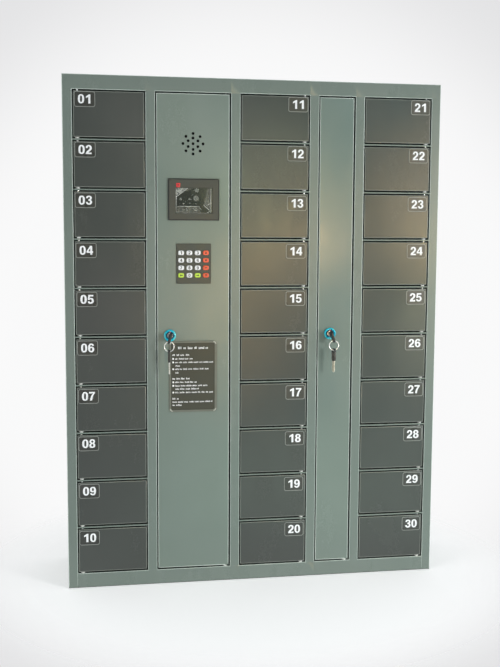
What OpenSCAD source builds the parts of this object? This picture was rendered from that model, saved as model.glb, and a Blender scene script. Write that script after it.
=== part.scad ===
// Electronic phone locker: a welded sheet steel cabinet with thirty small
// compartments in three columns, a tall control door with display and keypad,
// and a tall narrow service door.
// The cabinet stands on z = 0, centred on x = 0 and y = 0. Its front faces -Y.

/* [Cabinet] */
// Depth of the case, front to back
case_d = 200; // [190:5:260]
// Thickness of the steel sheet
sheet = 1; // [0.8:0.1:1.2]
// Face width of the left side post
post_w = 19; // [17:1:24]
// Face width of the right side post
right_post_w = 19; // [17:1:24]
// Face width of the uprights to the left of the tall doors
upright_w = 19; // [18:1:24]
// Face width of the uprights to the right of the tall doors
mullion_w = 19; // [18:1:24]
// Face height of the top rail
top_rail = 29; // [26:1:36]
// Face height of the bottom rail
bottom_rail = 30; // [26:1:40]
// Depth of the return flanges round the doorways
return_d = 18; // [16:1:18]

/* [Compartments] */
// Clear width of a compartment's doorway
cell_w = 142; // [132:1:160]
// Clear height of a compartment's doorway
cell_h = 94; // [90:1:105]
// Face height of the bar between two doors
bar_h = 3; // [3:0.5:6]
// Depth of the folded front edge of a shelf
hem_d = 14; // [12:1:16]

/* [Tall doors] */
// Clear width of the control doorway
control_w = 151; // [148:1:165]
// Clear width of the service doorway
service_w = 76; // [74:1:90]
// Height of the cam locks above the floor
lock_z = 515; // [512:1:518]
// Distance of a cam lock from the edge of its doorway
lock_in = 27.5; // [27:0.5:30]

// Diameter of a loudspeaker hole
hole_d = 5; // [4:0.1:5.2]

/* [Doors] */
// Gap between a door and its doorway at the sides
door_gap = 1.7; // [1.4:0.1:1.8]
// Gap above a door
top_gap = 2.4; // [1.4:0.1:2.6]
// Gap under a door, where the washer of its lower pivot sits
low_gap = 2.6; // [1.6:0.1:3]
// Depth of the folded edge of a small door
pan_d = 14; // [12:1:15]
// How far a door face lies behind the frame
inset = 0.5; // [0.3:0.1:0.8]
// Distance of the pivot from the edge of the doorway
pivot_in = 10; // [9:0.5:11]
// Distance of the pivot behind the door face
pivot_back = 4; // [3.5:0.1:4]
// Diameter of a pivot pin
pin_d = 4; // [3.6:0.1:4.2]
// Radial clearance of a pin in its hole
pin_clear = 0.05; // [0.03:0.01:0.09]

/* [Keypad] */
// Centre-to-centre distance of two key columns
key_px = 16.6; // [16.4:0.1:17]
// Centre-to-centre distance of two key rows
key_pz = 15; // [14.6:0.1:15.4]
// Width of a key cap
key_w = 11.6; // [11.2:0.1:12.6]
// Height of a key cap
key_h = 8.8; // [8.6:0.1:10.5]

/* [Locks] */
// Outer diameter of the lock's face ring
ring_od = 24; // [22:0.5:24]
// Radial clearance of the plug in its barrel
plug_clear = 0.05; // [0.03:0.01:0.09]

/* [Hidden] */
$fn = 48;

rows = 10;
seam = 0.1;                       // butt seams of the welded shell
open_h = rows * cell_h + (rows - 1) * bar_h;
case_h = bottom_rail + open_h + top_rail;
case_w = post_w + right_post_w + 2 * upright_w + 2 * mullion_w + 3 * cell_w
  + control_w + service_w;
yf = -case_d / 2;                 // front of the frame
yb = case_d / 2;                  // back of the case
yd = yf + inset;                  // front face of every door
yp = yd + pivot_back;             // pivot axis
ztop = bottom_rail + open_h;      // top edge of the doorways
xl = -case_w / 2;
x1 = xl + post_w;                 // left edge of each doorway
x2 = x1 + cell_w + upright_w;
x3 = x2 + control_w + mullion_w;
x4 = x3 + cell_w + upright_w;
x5 = x4 + service_w + mullion_w;
x6 = x5 + cell_w;                 // right edge of the last doorway
pin_reach = (bar_h - 0.4) / 2;    // how far a pin tip passes the doorway edge
wire_at = 10;                     // radius of a key ring, to the middle of its wire
lean_1 = 18.7;                    // how far each lock's key leans from upright
lean_2 = -15.6;
drop_1 = 1.6;                     // extra length of each key's head
drop_2 = 3.7;
bore_d = pin_d + 2 * pin_clear;
disp_x = x2 + 75.9;               // centre of the display
disp_z = ztop - 209.6;
kp_x = x2 + 75.8;                 // centre of the keypad
kp_z = ztop - 337.6;
spk_x = x2 + 74.9;                // centre of the speaker holes
spk_z = ztop - 100.1;
card_x = x2 + 74.6;               // centre of the instruction plate
card_z = lock_z - 84.2;
sage = [0.49, 0.55, 0.51];
charcoal = [0.30, 0.32, 0.31];
steel = [0.72, 0.73, 0.74];

function cell_x(c) = c == 0 ? x1 : c == 1 ? x3 : x5;
function row_z(r) = bottom_rail + (rows - 1 - r) * (cell_h + bar_h);

// ---------------------------------------------------------------- helpers
module box(xa, xb, ya, yb_, za, zb)
  translate([xa, ya, za]) cube([xb - xa, yb_ - ya, zb - za]);

// a flat outline in x and z, drawn from ya back to yb_
module plate(x, z, ya, yb_)
  translate([x, yb_, z]) rotate([90, 0, 0]) linear_extrude(yb_ - ya) children();

// a flat outline in y and z, drawn t thick about x
module blade(x, t)
  translate([x - t / 2, 0, 0]) rotate([90, 0, 90]) linear_extrude(t) children();

module rrect(w, h, r) {
  square([w - 2 * r, h], center = true);
  square([w, h - 2 * r], center = true);
  for (a = [-1, 1], b = [-1, 1])
    translate([a * (w / 2 - r), b * (h / 2 - r)]) circle(r);
}

// ------------------------------------------------------- cabinet sheet work
// every pivot of the five columns: x of each axis
pivots = [x1 + pivot_in, x2 + control_w - pivot_in, x3 + cell_w - pivot_in,
          x4 + service_w - pivot_in, x5 + cell_w - pivot_in];

module side_panel(w) {
  // outer sheet, front post and the return flange of the post
  box(xl, xl + sheet, yf, yb - sheet, 0, ztop - seam);
  box(xl, xl + sheet, yf + sheet + seam, yb - sheet, ztop - seam - 1, case_h - sheet - seam);
  box(xl, xl + w, yf, yf + sheet, 0, ztop - seam);
  box(xl + w - sheet, xl + w, yf, yf + return_d, 0, ztop - seam);
  // foot plate that closes the post
  box(xl, xl + w, yf, yf + return_d, 0, sheet);
}

module top_panel() {
  difference() {
    union() {
      box(xl, -xl, yf, yf + sheet, ztop, case_h);
      box(xl, -xl, yf, yb - sheet, case_h - sheet, case_h);
      box(x1, x6, yf, yf + return_d, ztop, ztop + sheet);
    }
    for (x = pivots) translate([x, yp, ztop - 1]) cylinder(d = bore_d, h = sheet + 2);
  }
}

module plinth() {
  difference() {
    union() {
      box(x1 + seam, x6 - seam, yf, yf + sheet, 0, bottom_rail);
      for (z = [0, bottom_rail - sheet]) {
        box(x1 + seam, x6 - seam, yf, yf + return_d + 1, z, z + sheet);
        box(xl + sheet + seam, -xl - sheet - seam, yf + return_d + seam, yb - sheet, z, z + sheet);
      }
    }
    for (x = pivots) translate([x, yp, bottom_rail - sheet - 1]) cylinder(d = bore_d, h = sheet + 2);
  }
}

module cabinet_shell() color(sage) {
  side_panel(post_w);
  mirror([1, 0, 0]) side_panel(right_post_w);
  top_panel();
  plinth();
}

module back_panel() color(sage) difference() {
  box(xl, -xl, yb - sheet, yb, 0, case_h);
  // four holes for wall screws, in the corner compartments
  for (x = [-300, 300], z = [80, 950])
    translate([x, yb + 1, z]) rotate([90, 0, 0]) cylinder(d = 10, h = sheet + 2);
  // hole of the cable gland
  translate([x2 + 74.5, yb + 1, 95]) rotate([90, 0, 0]) cylinder(d = 22, h = sheet + 2);
}

// one divider: the wall of a compartment column with the upright's face and
// return folded from the same sheet. dir is the side that the face lies on.
module divider(xw, dir, w, slots) difference() {
  union() {
    box(min(xw, xw + dir * sheet), max(xw, xw + dir * sheet), yf, yb - sheet, bottom_rail, ztop);
    box(min(xw, xw + dir * sheet), max(xw, xw + dir * sheet), yf + return_d + seam, yb - sheet,
        ztop - 1, case_h - sheet);
    box(min(xw, xw + dir * w), max(xw, xw + dir * w), yf, yf + sheet, bottom_rail, ztop);
    box(min(xw + dir * w, xw + dir * (w - sheet)),
        max(xw + dir * w, xw + dir * (w - sheet)), yf, yf + return_d, bottom_rail, ztop);
  }
  if (slots)
    for (r = [0 : rows - 1])
      box(xw - 2, xw + 2, yf + 21, yf + 31, row_z(r) + cell_h / 2 - 6, row_z(r) + cell_h / 2 + 6);
}

module column_dividers() color(sage) {
  divider(x1 + cell_w, 1, upright_w, true);
  divider(x3, -1, mullion_w, true);
  divider(x3 + cell_w, 1, upright_w, false);
  divider(x5, -1, mullion_w, true);
}

// one shelf: its front edge is folded down and back under, and takes the
// pins of the door above and of the door below
module shelf(c, r) {
  xa = cell_x(c);
  xb = xa + cell_w;
  xa2 = c == 0 ? xl + sheet : xa;
  xb2 = c == 2 ? -xl - sheet : xb;
  z = row_z(r) - bar_h;
  xp = c == 0 ? xa + pivot_in : xb - pivot_in;
  difference() {
    union() {
      box(xa, xb, yf, yf + return_d + 1, z + bar_h - sheet, z + bar_h);
      box(xa2, xb2, yf + return_d + seam, yb - sheet, z + bar_h - sheet, z + bar_h);
      box(xa, xb, yf, yf + sheet, z, z + bar_h);
      box(xa, xb, yf, yf + hem_d, z, z + sheet);
    }
    translate([xp, yp, z - 1]) cylinder(d = bore_d, h = bar_h + 2);
  }
}

module shelves() color(sage)
  for (c = [0 : 2], r = [0 : rows - 2]) shelf(c, r);

// one electric latch behind the upright: its housing and its bolt, drawn back
// flush with the compartment wall
module latch(xw, dir, z) {
  a = xw + dir * sheet;
  b = xw + dir * 15;
  box(min(a, b), max(a, b), yf + 20, yf + 78, z - 17, z + 17);
  box(xw + (dir > 0 ? 0.1 : -0.9 * sheet), xw + (dir > 0 ? 0.9 * sheet : -0.1),
      yf + 21.5, yf + 30.5, z - 5.5, z + 5.5);
}

module door_latches() color(steel)
  for (r = [0 : rows - 1]) {
    z = row_z(r) + cell_h / 2;
    latch(x1 + cell_w, 1, z);
    latch(x3, -1, z);
    latch(x5, -1, z);
  }

// board on its carrier, power supply and cable gland, on the back panel
module lock_controller() {
  xc = x2 + 74.5;
  color([0.62, 0.64, 0.65]) box(xc - 60, xc + 60, yb - sheet - 2, yb - sheet, 640, 860);
  color([0.10, 0.33, 0.20]) box(xc - 55, xc + 55, yb - sheet - 10, yb - sheet - 8.4, 650, 850);
  color([0.7, 0.7, 0.7])
    for (x = [-50, 50], z = [656, 844])
      translate([xc + x, yb - sheet - 2.1, z]) rotate([90, 0, 0]) cylinder(d = 6, h = 6.2);
  color([0.15, 0.15, 0.15]) {
    box(xc - 50, xc + 50, yb - sheet - 22, yb - sheet - 10.1, 662, 672);
    box(xc - 50, xc + 50, yb - sheet - 22, yb - sheet - 10.1, 828, 838);
    box(xc - 18, xc + 10, yb - sheet - 15, yb - sheet - 10.1, 730, 758);
    box(xc + 24, xc + 44, yb - sheet - 20, yb - sheet - 10.1, 700, 715);
  }
  color([0.75, 0.76, 0.77]) box(xc - 50, xc + 50, yb - sheet - 38, yb - sheet, 380, 540);
  color([0.08, 0.08, 0.08]) translate([xc, yb, 95]) rotate([90, 0, 0]) {
    cylinder(d = 21.8, h = 12);
    translate([0, 0, sheet + 0.1]) cylinder(d = 30, h = 3);
  }
}

// --------------------------------------------------------------- doors
// a pan folded from one sheet, open at the back
module pan(xa, xb, za, zb, d) difference() {
  box(xa, xb, yd, yd + d, za, zb);
  box(xa + sheet, xb - sheet, yd + sheet, yd + d + 1, za + sheet, zb - sheet);
}

// the two pivot pins of a door. za and zb are the edges of its doorway
module pivot_pins(xp, za, zb) {
  translate([xp, yp, za - pin_reach]) cylinder(d = pin_d, h = pin_reach + low_gap + 4);
  translate([xp, yp, za + 0.2]) cylinder(d = 2 * pivot_back, h = low_gap);
  translate([xp, yp, zb - top_gap - 4]) cylinder(d = pin_d, h = pin_reach + top_gap + 4);
}

// the tab that the latch bolt catches
module striker(xs, z) difference() {
  box(xs - 1, xs + 1, yd + sheet / 2, yf + 34, z - 8, z + 8);
  box(xs - 2, xs + 2, yf + 21, yf + 31, z - 4.5, z + 4.5);
}

module small_door(n) {
  c = floor((n - 1) / 10);
  r = (n - 1) % 10;
  xa = cell_x(c);
  xb = xa + cell_w;
  z = row_z(r);
  color(charcoal) {
    pan(xa + door_gap, xb - door_gap, z + low_gap, z + cell_h - top_gap, pan_d);
    striker(c == 0 ? xb - 7 : xa + 7, z + cell_h / 2);
  }
  color(steel) pivot_pins(c == 0 ? xa + pivot_in : xb - pivot_in, z, z + cell_h);
}

module door_01() small_door(1);
module door_02() small_door(2);
module door_03() small_door(3);
module door_04() small_door(4);
module door_05() small_door(5);
module door_06() small_door(6);
module door_07() small_door(7);
module door_08() small_door(8);
module door_09() small_door(9);
module door_10() small_door(10);
module door_11() small_door(11);
module door_12() small_door(12);
module door_13() small_door(13);
module door_14() small_door(14);
module door_15() small_door(15);
module door_16() small_door(16);
module door_17() small_door(17);
module door_18() small_door(18);
module door_19() small_door(19);
module door_20() small_door(20);
module door_21() small_door(21);
module door_22() small_door(22);
module door_23() small_door(23);
module door_24() small_door(24);
module door_25() small_door(25);
module door_26() small_door(26);
module door_27() small_door(27);
module door_28() small_door(28);
module door_29() small_door(29);
module door_30() small_door(30);

// --------------------------------------------------------------- cam locks
// barrel with its dished face ring and the hexagon nut behind the sheet.
// The axis points forward, and 0 is the door face.
module lock_barrel(x) translate([x, yd, lock_z]) rotate([90, 0, 0]) {
  rotate_extrude() polygon([
    [6 + plug_clear, -19.5], [9.4, -19.5], [9.4, 0.05], [ring_od / 2, 0.05],
    [ring_od / 2, 3.4], [ring_od / 2 - 0.5, 4.6], [ring_od / 2 - 1.6, 5.2],
    [ring_od / 2 - 2.6, 4.8], [6.9, 1.6], [6 + plug_clear, 1.4]]);
  translate([0, 0, -sheet - 3.05]) difference() {
    cylinder(r = 13, h = 3, $fn = 6);
    translate([0, 0, -1]) cylinder(r = 9.5, h = 5);
  }
}

// plug with its cam and cam nut at the back, and the key in it. The plug is
// turned by lean degrees from upright, and drop is how much lower than on the
// shortest key the head's hole lies.
module lock_plug(x, lean, drop) translate([x, 0, lock_z]) rotate([0, lean, 0]) {
  translate([0, yd, 0]) rotate([90, 0, 0]) {
    color(steel) translate([0, 0, -20.2]) cylinder(r = 6, h = 22.4);
    color(steel) translate([0, 0, -25]) cylinder(r = 5, h = 5, $fn = 6);
  }
  color(steel) plate(0, 0, yd + 20, yd + 22) {
    circle(8);
    translate([-8, -34]) square([16, 34]);
    translate([0, -34]) circle(8);
  }
  // shank and head of the key
  color(steel) box(-1.1, 1.1, yd - 9, yd - 1, -3.5, 3.5);
  color([0.1, 0.1, 0.1]) difference() {
    blade(0, 4.4) translate([yd, 0]) {
      translate([-11, 0]) circle(5);
      translate([-19.5, 1.8]) circle(6);
      translate([-22.5, -8 - drop]) circle(5.6);
      polygon([[-11, 5], [-19.5, 7.8], [-25.4, 1.2], [-28.05, -7.2 - drop], [-22.5, -13.6 - drop],
               [-17.6, -10.7 - drop], [-8.2, -4.14]]);
    }
    translate([-5, yd - 23.5, -9 - drop]) rotate([0, 90, 0]) cylinder(r = 2.6, h = 10);
  }
}

// spare key, hanging from the ring, turned about its own upright axis. Its
// origin is the middle of its hole
module spare_key(a) rotate([0, 0, a]) difference() {
  union() {
    blade(0, 4.4) {
      translate([0, -0.5]) circle(6);
      translate([0, -15]) circle(6);
      translate([-6, -15]) square([12, 14.5]);
    }
    blade(0, 2) {
      translate([-3.6, -41.9]) square([7.2, 26]);
      polygon([[-3.6, -41.9], [0, -44.4], [3.6, -41.9]]);
    }
  }
  translate([-5, 0, 0]) rotate([0, 90, 0]) cylinder(r = 3.4, h = 10);
}

// the ring through the key's hole, with the spare key on it
module key_ring(x, lean, drop, a)
  translate([x - (9 + drop) * sin(lean), yd - 23.5, lock_z - (9 + drop) * cos(lean) - 0.2]) {
    color([0.80, 0.80, 0.77]) translate([0, 0, -wire_at]) rotate([90, 0, 0])
      rotate_extrude() translate([wire_at, 0]) circle(1.1, $fn = 24);
    color([0.12, 0.12, 0.12]) translate([0, 0, -2 * wire_at - 1.4]) spare_key(a);
  }

// --------------------------------------------------------------- tall doors
module tall_door(xa, w) {
  pan(xa + door_gap, xa + w - door_gap, bottom_rail + low_gap, ztop - top_gap, 16);
  pivot_pins(xa + w - pivot_in, bottom_rail, ztop);
}

module control_door() {
  color(sage) difference() {
    tall_door(x2, control_w);
    // display and keypad cut-outs, lock hole and speaker holes
    box(disp_x - 47, disp_x + 47, yd - 1, yd + 2, disp_z - 37, disp_z + 37);
    box(kp_x - 34, kp_x + 34, yd - 1, yd + 2, kp_z - 35.6, kp_z + 35.6);
    translate([x2 + lock_in, yd + 2, lock_z]) rotate([90, 0, 0]) cylinder(r = 9.5, h = 3);
    translate([spk_x, yd + 2, spk_z]) rotate([90, 0, 0]) {
      cylinder(d = hole_d, h = 3);
      for (i = [0 : 5]) rotate(i * 60 + 90) translate([11.2, 0]) cylinder(d = hole_d, h = 3);
      for (i = [0 : 7]) rotate(i * 45 + 90) translate([20, 0]) cylinder(d = hole_d, h = 3);
    }
  }
  // instruction plate
  color([0.33, 0.34, 0.31]) plate(card_x, card_z, yd - 1.25, yd - 0.05) rrect(98, 145, 7);
  // loudspeaker behind its holes
  color([0.1, 0.1, 0.1]) translate([spk_x, yd + sheet + 0.1, spk_z]) rotate([-90, 0, 0])
    rotate_extrude() polygon([[0, 6], [8, 5], [24, 1.6], [24.4, 0], [27, 0], [27, 3],
      [24, 4], [22, 12], [14, 14], [14, 20], [0, 20]]);
  color([0.10, 0.62, 0.78]) lock_barrel(x2 + lock_in);
}

module service_door() {
  color(sage) difference() {
    tall_door(x4, service_w);
    translate([x4 + lock_in, yd + 2, lock_z]) rotate([90, 0, 0]) cylinder(r = 9.5, h = 3);
  }
  color([0.10, 0.62, 0.78]) lock_barrel(x4 + lock_in);
}

module control_lock_plug() lock_plug(x2 + lock_in, lean_1, drop_1);
module service_lock_plug() lock_plug(x4 + lock_in, lean_2, drop_2);
module control_key_ring() key_ring(x2 + lock_in, lean_1, drop_1, 0);
module service_key_ring() key_ring(x4 + lock_in, lean_2, drop_2, 24);

// display: bezel with sloping edges and a housing behind it, and the panel
module display_unit() {
  color([0.33, 0.32, 0.30]) difference() {
    union() {
      intersection() {
        plate(disp_x, disp_z - 0.4, yd - 5, yd) square([102, 82.4], center = true);
        translate([0, 0, disp_z - 50]) linear_extrude(100)
          polygon([[disp_x - 51, yd], [disp_x - 51, yd - 3], [disp_x - 49, yd - 5],
                   [disp_x + 49, yd - 5], [disp_x + 51, yd - 3], [disp_x + 51, yd]]);
        blade(disp_x, 120)
          polygon([[yd, disp_z - 41.6], [yd - 3, disp_z - 41.6], [yd - 5, disp_z - 39.6],
                   [yd - 5, disp_z + 38.8], [yd - 3, disp_z + 40.8], [yd, disp_z + 40.8]]);
      }
      box(disp_x - 46, disp_x + 46, yd - 1, yd + 26, disp_z - 36, disp_z + 36);
    }
    // window and the hollow of the housing
    box(disp_x - 36.4, disp_x + 37.4, yd - 6, yd, disp_z - 27.8, disp_z + 22.6);
    box(disp_x - 39.9, disp_x + 40.9, yd - 3, yd + 24.5, disp_z - 31, disp_z + 26.1);
  }
  color([0.05, 0.06, 0.06])
    box(disp_x - 39.8, disp_x + 40.8, yd - 2.9, yd + 2, disp_z - 30.9, disp_z + 26);
}

module key_outline(grow) rrect(key_w + 2 * grow, key_h + 2 * grow, 3 + grow);

function key_x(i) = kp_x - 0.5 + (i - 1.5) * key_px;
function key_z(j) = kp_z - 0.8 + (1.5 - j) * key_pz;

// keypad: face plate with sixteen windows, on a closed housing
module keypad_panel() color([0.34, 0.34, 0.32]) difference() {
  union() {
    plate(kp_x, kp_z, yd - 1.6, yd) rrect(69.6, 80.2, 1);
    box(kp_x - 33.6, kp_x + 33.6, yd - 1, yd + 12, kp_z - 35.2, kp_z + 35.2);
  }
  box(kp_x - 32.6, kp_x + 32.6, yd + 1.2, yd + 10.8, kp_z - 34.2, kp_z + 34.2);
  for (i = [0 : 3], j = [0 : 3])
    plate(key_x(i), key_z(j), yd - 3, yd + 2) key_outline(0.3);
}

// one key: a cap that passes the plate and a flange that holds it in
module key_cap(i, j) {
  plate(key_x(i), key_z(j), yd - 4, yd + 4.4) key_outline(0);
  plate(key_x(i), key_z(j), yd + 1.4, yd + 4.4) rrect(key_w + 1.4, key_h + 1.5, 3);
}

key_white = [0.93, 0.93, 0.91];
key_red = [0.90, 0.30, 0.20];
key_yellow = [0.80, 0.90, 0.30];
module key_1() color(key_white) key_cap(0, 0);
module key_2() color(key_white) key_cap(1, 0);
module key_3() color(key_white) key_cap(2, 0);
module key_red_1() color(key_red) key_cap(3, 0);
module key_4() color(key_white) key_cap(0, 1);
module key_5() color(key_white) key_cap(1, 1);
module key_6() color(key_white) key_cap(2, 1);
module key_red_2() color(key_red) key_cap(3, 1);
module key_7() color(key_white) key_cap(0, 2);
module key_8() color(key_white) key_cap(1, 2);
module key_9() color(key_white) key_cap(2, 2);
module key_red_3() color(key_red) key_cap(3, 2);
module key_yellow_left() color(key_yellow) key_cap(0, 3);
module key_0() color(key_white) key_cap(1, 3);
module key_yellow_right() color(key_yellow) key_cap(2, 3);
module key_red_4() color(key_red) key_cap(3, 3);

cabinet_shell();
back_panel();
column_dividers();
shelves();
door_latches();
lock_controller();
control_door();
display_unit();
keypad_panel();
control_lock_plug();
control_key_ring();
service_door();
service_lock_plug();
service_key_ring();
key_1();
key_2();
key_3();
key_red_1();
key_4();
key_5();
key_6();
key_red_2();
key_7();
key_8();
key_9();
key_red_3();
key_yellow_left();
key_0();
key_yellow_right();
key_red_4();
door_01();
door_02();
door_03();
door_04();
door_05();
door_06();
door_07();
door_08();
door_09();
door_10();
door_11();
door_12();
door_13();
door_14();
door_15();
door_16();
door_17();
door_18();
door_19();
door_20();
door_21();
door_22();
door_23();
door_24();
door_25();
door_26();
door_27();
door_28();
door_29();
door_30();
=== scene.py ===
import bpy, bmesh, math, random
from mathutils import Vector, Matrix, Euler
from mathutils.geometry import tessellate_polygon


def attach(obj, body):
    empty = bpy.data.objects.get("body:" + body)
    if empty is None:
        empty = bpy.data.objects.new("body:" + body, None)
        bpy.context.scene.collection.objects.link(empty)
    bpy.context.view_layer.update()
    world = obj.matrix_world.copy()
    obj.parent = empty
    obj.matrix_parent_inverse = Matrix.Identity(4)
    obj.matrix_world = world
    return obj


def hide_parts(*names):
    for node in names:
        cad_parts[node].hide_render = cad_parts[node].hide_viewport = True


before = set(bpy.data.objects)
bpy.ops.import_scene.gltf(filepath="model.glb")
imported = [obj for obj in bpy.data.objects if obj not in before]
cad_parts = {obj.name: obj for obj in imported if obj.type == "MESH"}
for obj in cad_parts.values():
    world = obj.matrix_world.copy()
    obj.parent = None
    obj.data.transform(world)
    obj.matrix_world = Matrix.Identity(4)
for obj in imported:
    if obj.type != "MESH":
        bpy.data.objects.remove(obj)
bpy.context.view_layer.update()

MM = 0.001
scene = bpy.context.scene

# ------------------------------------------------------------------ dimensions
# millimetres, as in the CAD part
CASE_W, CASE_H, YF, YB, YD = 767.0, 1026.0, -100.0, 100.0, -99.5
ZB, ZT, CELL_W, CELL_H, BAR = 30.0, 997.0, 142.0, 94.0, 3.0
X1 = -364.5
X2 = X1 + 161.0
X3 = X2 + 170.0
X4 = X3 + 161.0
X5 = X4 + 95.0
X6 = X5 + CELL_W
CONTROL_W, SERVICE_W = 151.0, 76.0
GAP, TOP, LOW = 1.7, 2.4, 2.6       # gaps beside, above and under a door
YP = YD + 4.0
LOCK_Z = 515.0
LOCK_X1, LOCK_X2 = X2 + 27.5, X4 + 27.5
LEAN1, LEAN2, DROP1, DROP2 = 18.7, -15.6, 1.6, 3.7
DISP_X, DISP_Z = X2 + 75.9, ZT - 209.6
SPK_X, SPK_Z = X2 + 74.9, ZT - 100.1
CARD_X, CARD_Z = X2 + 74.6, LOCK_Z - 84.2


def cell_x(c):
    return (X1, X3, X5)[c]


def row_z(r):
    return ZB + (9 - r) * (CELL_H + BAR)


# ------------------------------------------------------------------ materials
def rgb(r, g, b):
    """sRGB 0..255 to linear"""
    def f(v):
        v /= 255.0
        return v / 12.92 if v <= 0.04045 else ((v + 0.055) / 1.055) ** 2.4
    return (f(r), f(g), f(b), 1.0)


class Mat:
    """A node material with small helpers, so each surface's recipe reads in a few lines."""

    def __init__(self, name):
        self.m = bpy.data.materials.new(name)
        self.m.use_nodes = True
        self.t = self.m.node_tree
        self.p = self.t.nodes["Principled BSDF"]
        self.tc = self.t.nodes.new("ShaderNodeTexCoord")
        self.height = None

    def node(self, kind, **props):
        n = self.t.nodes.new(kind)
        for k, v in props.items():
            setattr(n, k, v)
        return n

    def link(self, a, b):
        self.t.links.new(a, b)

    def coords(self, scale=(1, 1, 1), rot=(0, 0, 0)):
        mp = self.node("ShaderNodeMapping")
        mp.inputs["Scale"].default_value = scale
        mp.inputs["Rotation"].default_value = rot
        self.link(self.tc.outputs["Object"], mp.inputs["Vector"])
        return mp.outputs["Vector"]

    def noise(self, scale, detail=2.0, rough=0.5, stretch=(1, 1, 1), distort=0.0, own=False):
        """own gives every object its own field"""
        n = self.node("ShaderNodeTexNoise")
        if own:
            n.noise_dimensions = "4D"
            info = self.node("ShaderNodeObjectInfo")
            self.link(self.math("MULTIPLY", info.outputs["Random"], 37.0), n.inputs["W"])
        n.inputs["Scale"].default_value = scale
        n.inputs["Detail"].default_value = detail
        n.inputs["Roughness"].default_value = rough
        n.inputs["Distortion"].default_value = distort
        self.link(self.coords(stretch), n.inputs["Vector"])
        return n.outputs["Fac"]

    def voronoi(self, scale, feature="F1", stretch=(1, 1, 1)):
        n = self.node("ShaderNodeTexVoronoi", feature=feature)
        n.inputs["Scale"].default_value = scale
        self.link(self.coords(stretch), n.inputs["Vector"])
        return n.outputs["Distance"]

    def ramp(self, fac, stops, interp="LINEAR"):
        n = self.node("ShaderNodeValToRGB")
        n.color_ramp.interpolation = interp
        e = n.color_ramp.elements
        while len(e) < len(stops):
            e.new(0.5)
        for el, (pos, col) in zip(e, stops):
            el.position = pos
            el.color = col if len(col) == 4 else (*col, 1)
        self.link(fac, n.inputs["Fac"])
        return n.outputs["Color"]

    def value(self, fac, lo, hi, a=0.0, b=1.0):
        """maps a..b of fac to lo..hi"""
        n = self.node("ShaderNodeMapRange")
        for k, v in (("From Min", a), ("From Max", b), ("To Min", lo), ("To Max", hi)):
            n.inputs[k].default_value = v
        self.link(fac, n.inputs["Value"])
        return n.outputs["Result"]

    def math(self, op, a, b=None):
        n = self.node("ShaderNodeMath", operation=op)
        for i, v in enumerate((a, b)):
            if v is None:
                continue
            if isinstance(v, (int, float)):
                n.inputs[i].default_value = v
            else:
                self.link(v, n.inputs[i])
        return n.outputs[0]

    def mix(self, fac, a, b, blend="MIX"):
        n = self.node("ShaderNodeMix", data_type="RGBA", blend_type=blend)
        for sock, v in ((n.inputs[0], fac), (n.inputs[6], a), (n.inputs[7], b)):
            if isinstance(v, (int, float)):
                sock.default_value = v
            elif isinstance(v, tuple):
                sock.default_value = v
            else:
                self.link(v, sock)
        return n.outputs[2]

    def edge(self, radius, lo=0.02, hi=0.25):
        """1 on convex and concave edges, from how far the bevelled normal turns"""
        bev = self.node("ShaderNodeBevel", samples=4)
        bev.inputs["Radius"].default_value = radius
        geo = self.node("ShaderNodeNewGeometry")
        dot = self.node("ShaderNodeVectorMath", operation="DOT_PRODUCT")
        self.link(bev.outputs["Normal"], dot.inputs[0])
        self.link(geo.outputs["Normal"], dot.inputs[1])
        inv = self.math("SUBTRACT", 1.0, dot.outputs["Value"])
        return self.value(inv, 0.0, 1.0, lo, hi)

    def bump(self, height, strength, distance):
        b = self.node("ShaderNodeBump")
        b.inputs["Strength"].default_value = strength
        b.inputs["Distance"].default_value = distance
        self.link(height, b.inputs["Height"])
        if self.height is not None:
            self.link(self.height, b.inputs["Normal"])
        self.height = b.outputs["Normal"]
        self.link(self.height, self.p.inputs["Normal"])

    def set(self, **kw):
        for k, v in kw.items():
            sock = self.p.inputs[k.replace("_", " ")]
            if isinstance(v, bpy.types.NodeSocket):
                self.link(v, sock)
            else:
                sock.default_value = v
        return self


def powder_coat(name, base, shade, light, rough, wave=1.0, spec=0.5, gap=(0.14, 0.52)):
    """Semi-gloss powder coat on thin sheet: cloudy colour, fine speckle, orange peel, sheet waviness, rubbed edges that
    are partly painted highlight, and painted shade deep in the gaps.
    """
    m = Mat(name)
    cloud = m.noise(5.5, 3, 0.55)
    col = m.ramp(cloud, [(0.30, shade), (0.72, base)])
    speck = m.noise(2600.0, 1, 0.5)
    col = m.mix(m.value(speck, 0.0, 0.40, 0.66, 0.80), col, light)
    grain = m.noise(420.0, 3, 0.6)
    col = m.mix(m.value(grain, 0.0, 0.14, 0.35, 0.75), col, shade)
    # edges rubbed paler: partly wear of the paint, partly painted highlight
    rub_and_highlight = m.math("MULTIPLY", m.edge(0.0011), m.value(m.noise(60.0, 4, 0.6), 0.15, 0.75, 0.3, 0.7))
    col = m.mix(rub_and_highlight, col, light)
    gap_shade = m.node("ShaderNodeAmbientOcclusion", samples=6)     # painted shade deep in the gaps: the colour there goes near black and the reflection fades
    gap_shade.inputs["Distance"].default_value = 0.008
    col = m.mix(m.value(gap_shade.outputs["AO"], 0.0, 1.0, *gap), tuple(c * 0.05 for c in shade[:3]) + (1.0,), col)
    smear = m.noise(9.0, 4, 0.6, stretch=(1, 1, 0.45))
    r = m.math("ADD", m.value(smear, rough - 0.05, rough + 0.07, 0.3, 0.7), m.value(grain, -0.015, 0.02, 0.3, 0.7))
    # the reflection fades in the gaps as well: painted shade
    m.set(Base_Color=col, Roughness=r, Specular_IOR_Level=m.value(gap_shade.outputs["AO"], 0.02, spec, *gap), IOR=1.5)
    m.bump(m.noise(3.4, 1, 0.4, stretch=(1, 1, 0.8), own=True), 1.0, 0.0050 * wave)     # no sheet is quite flat
    m.bump(m.noise(760.0, 2, 0.5), 0.32, 0.00010)                          # orange peel
    m.bump(speck, 0.10, 0.00005)
    return m.m


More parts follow.
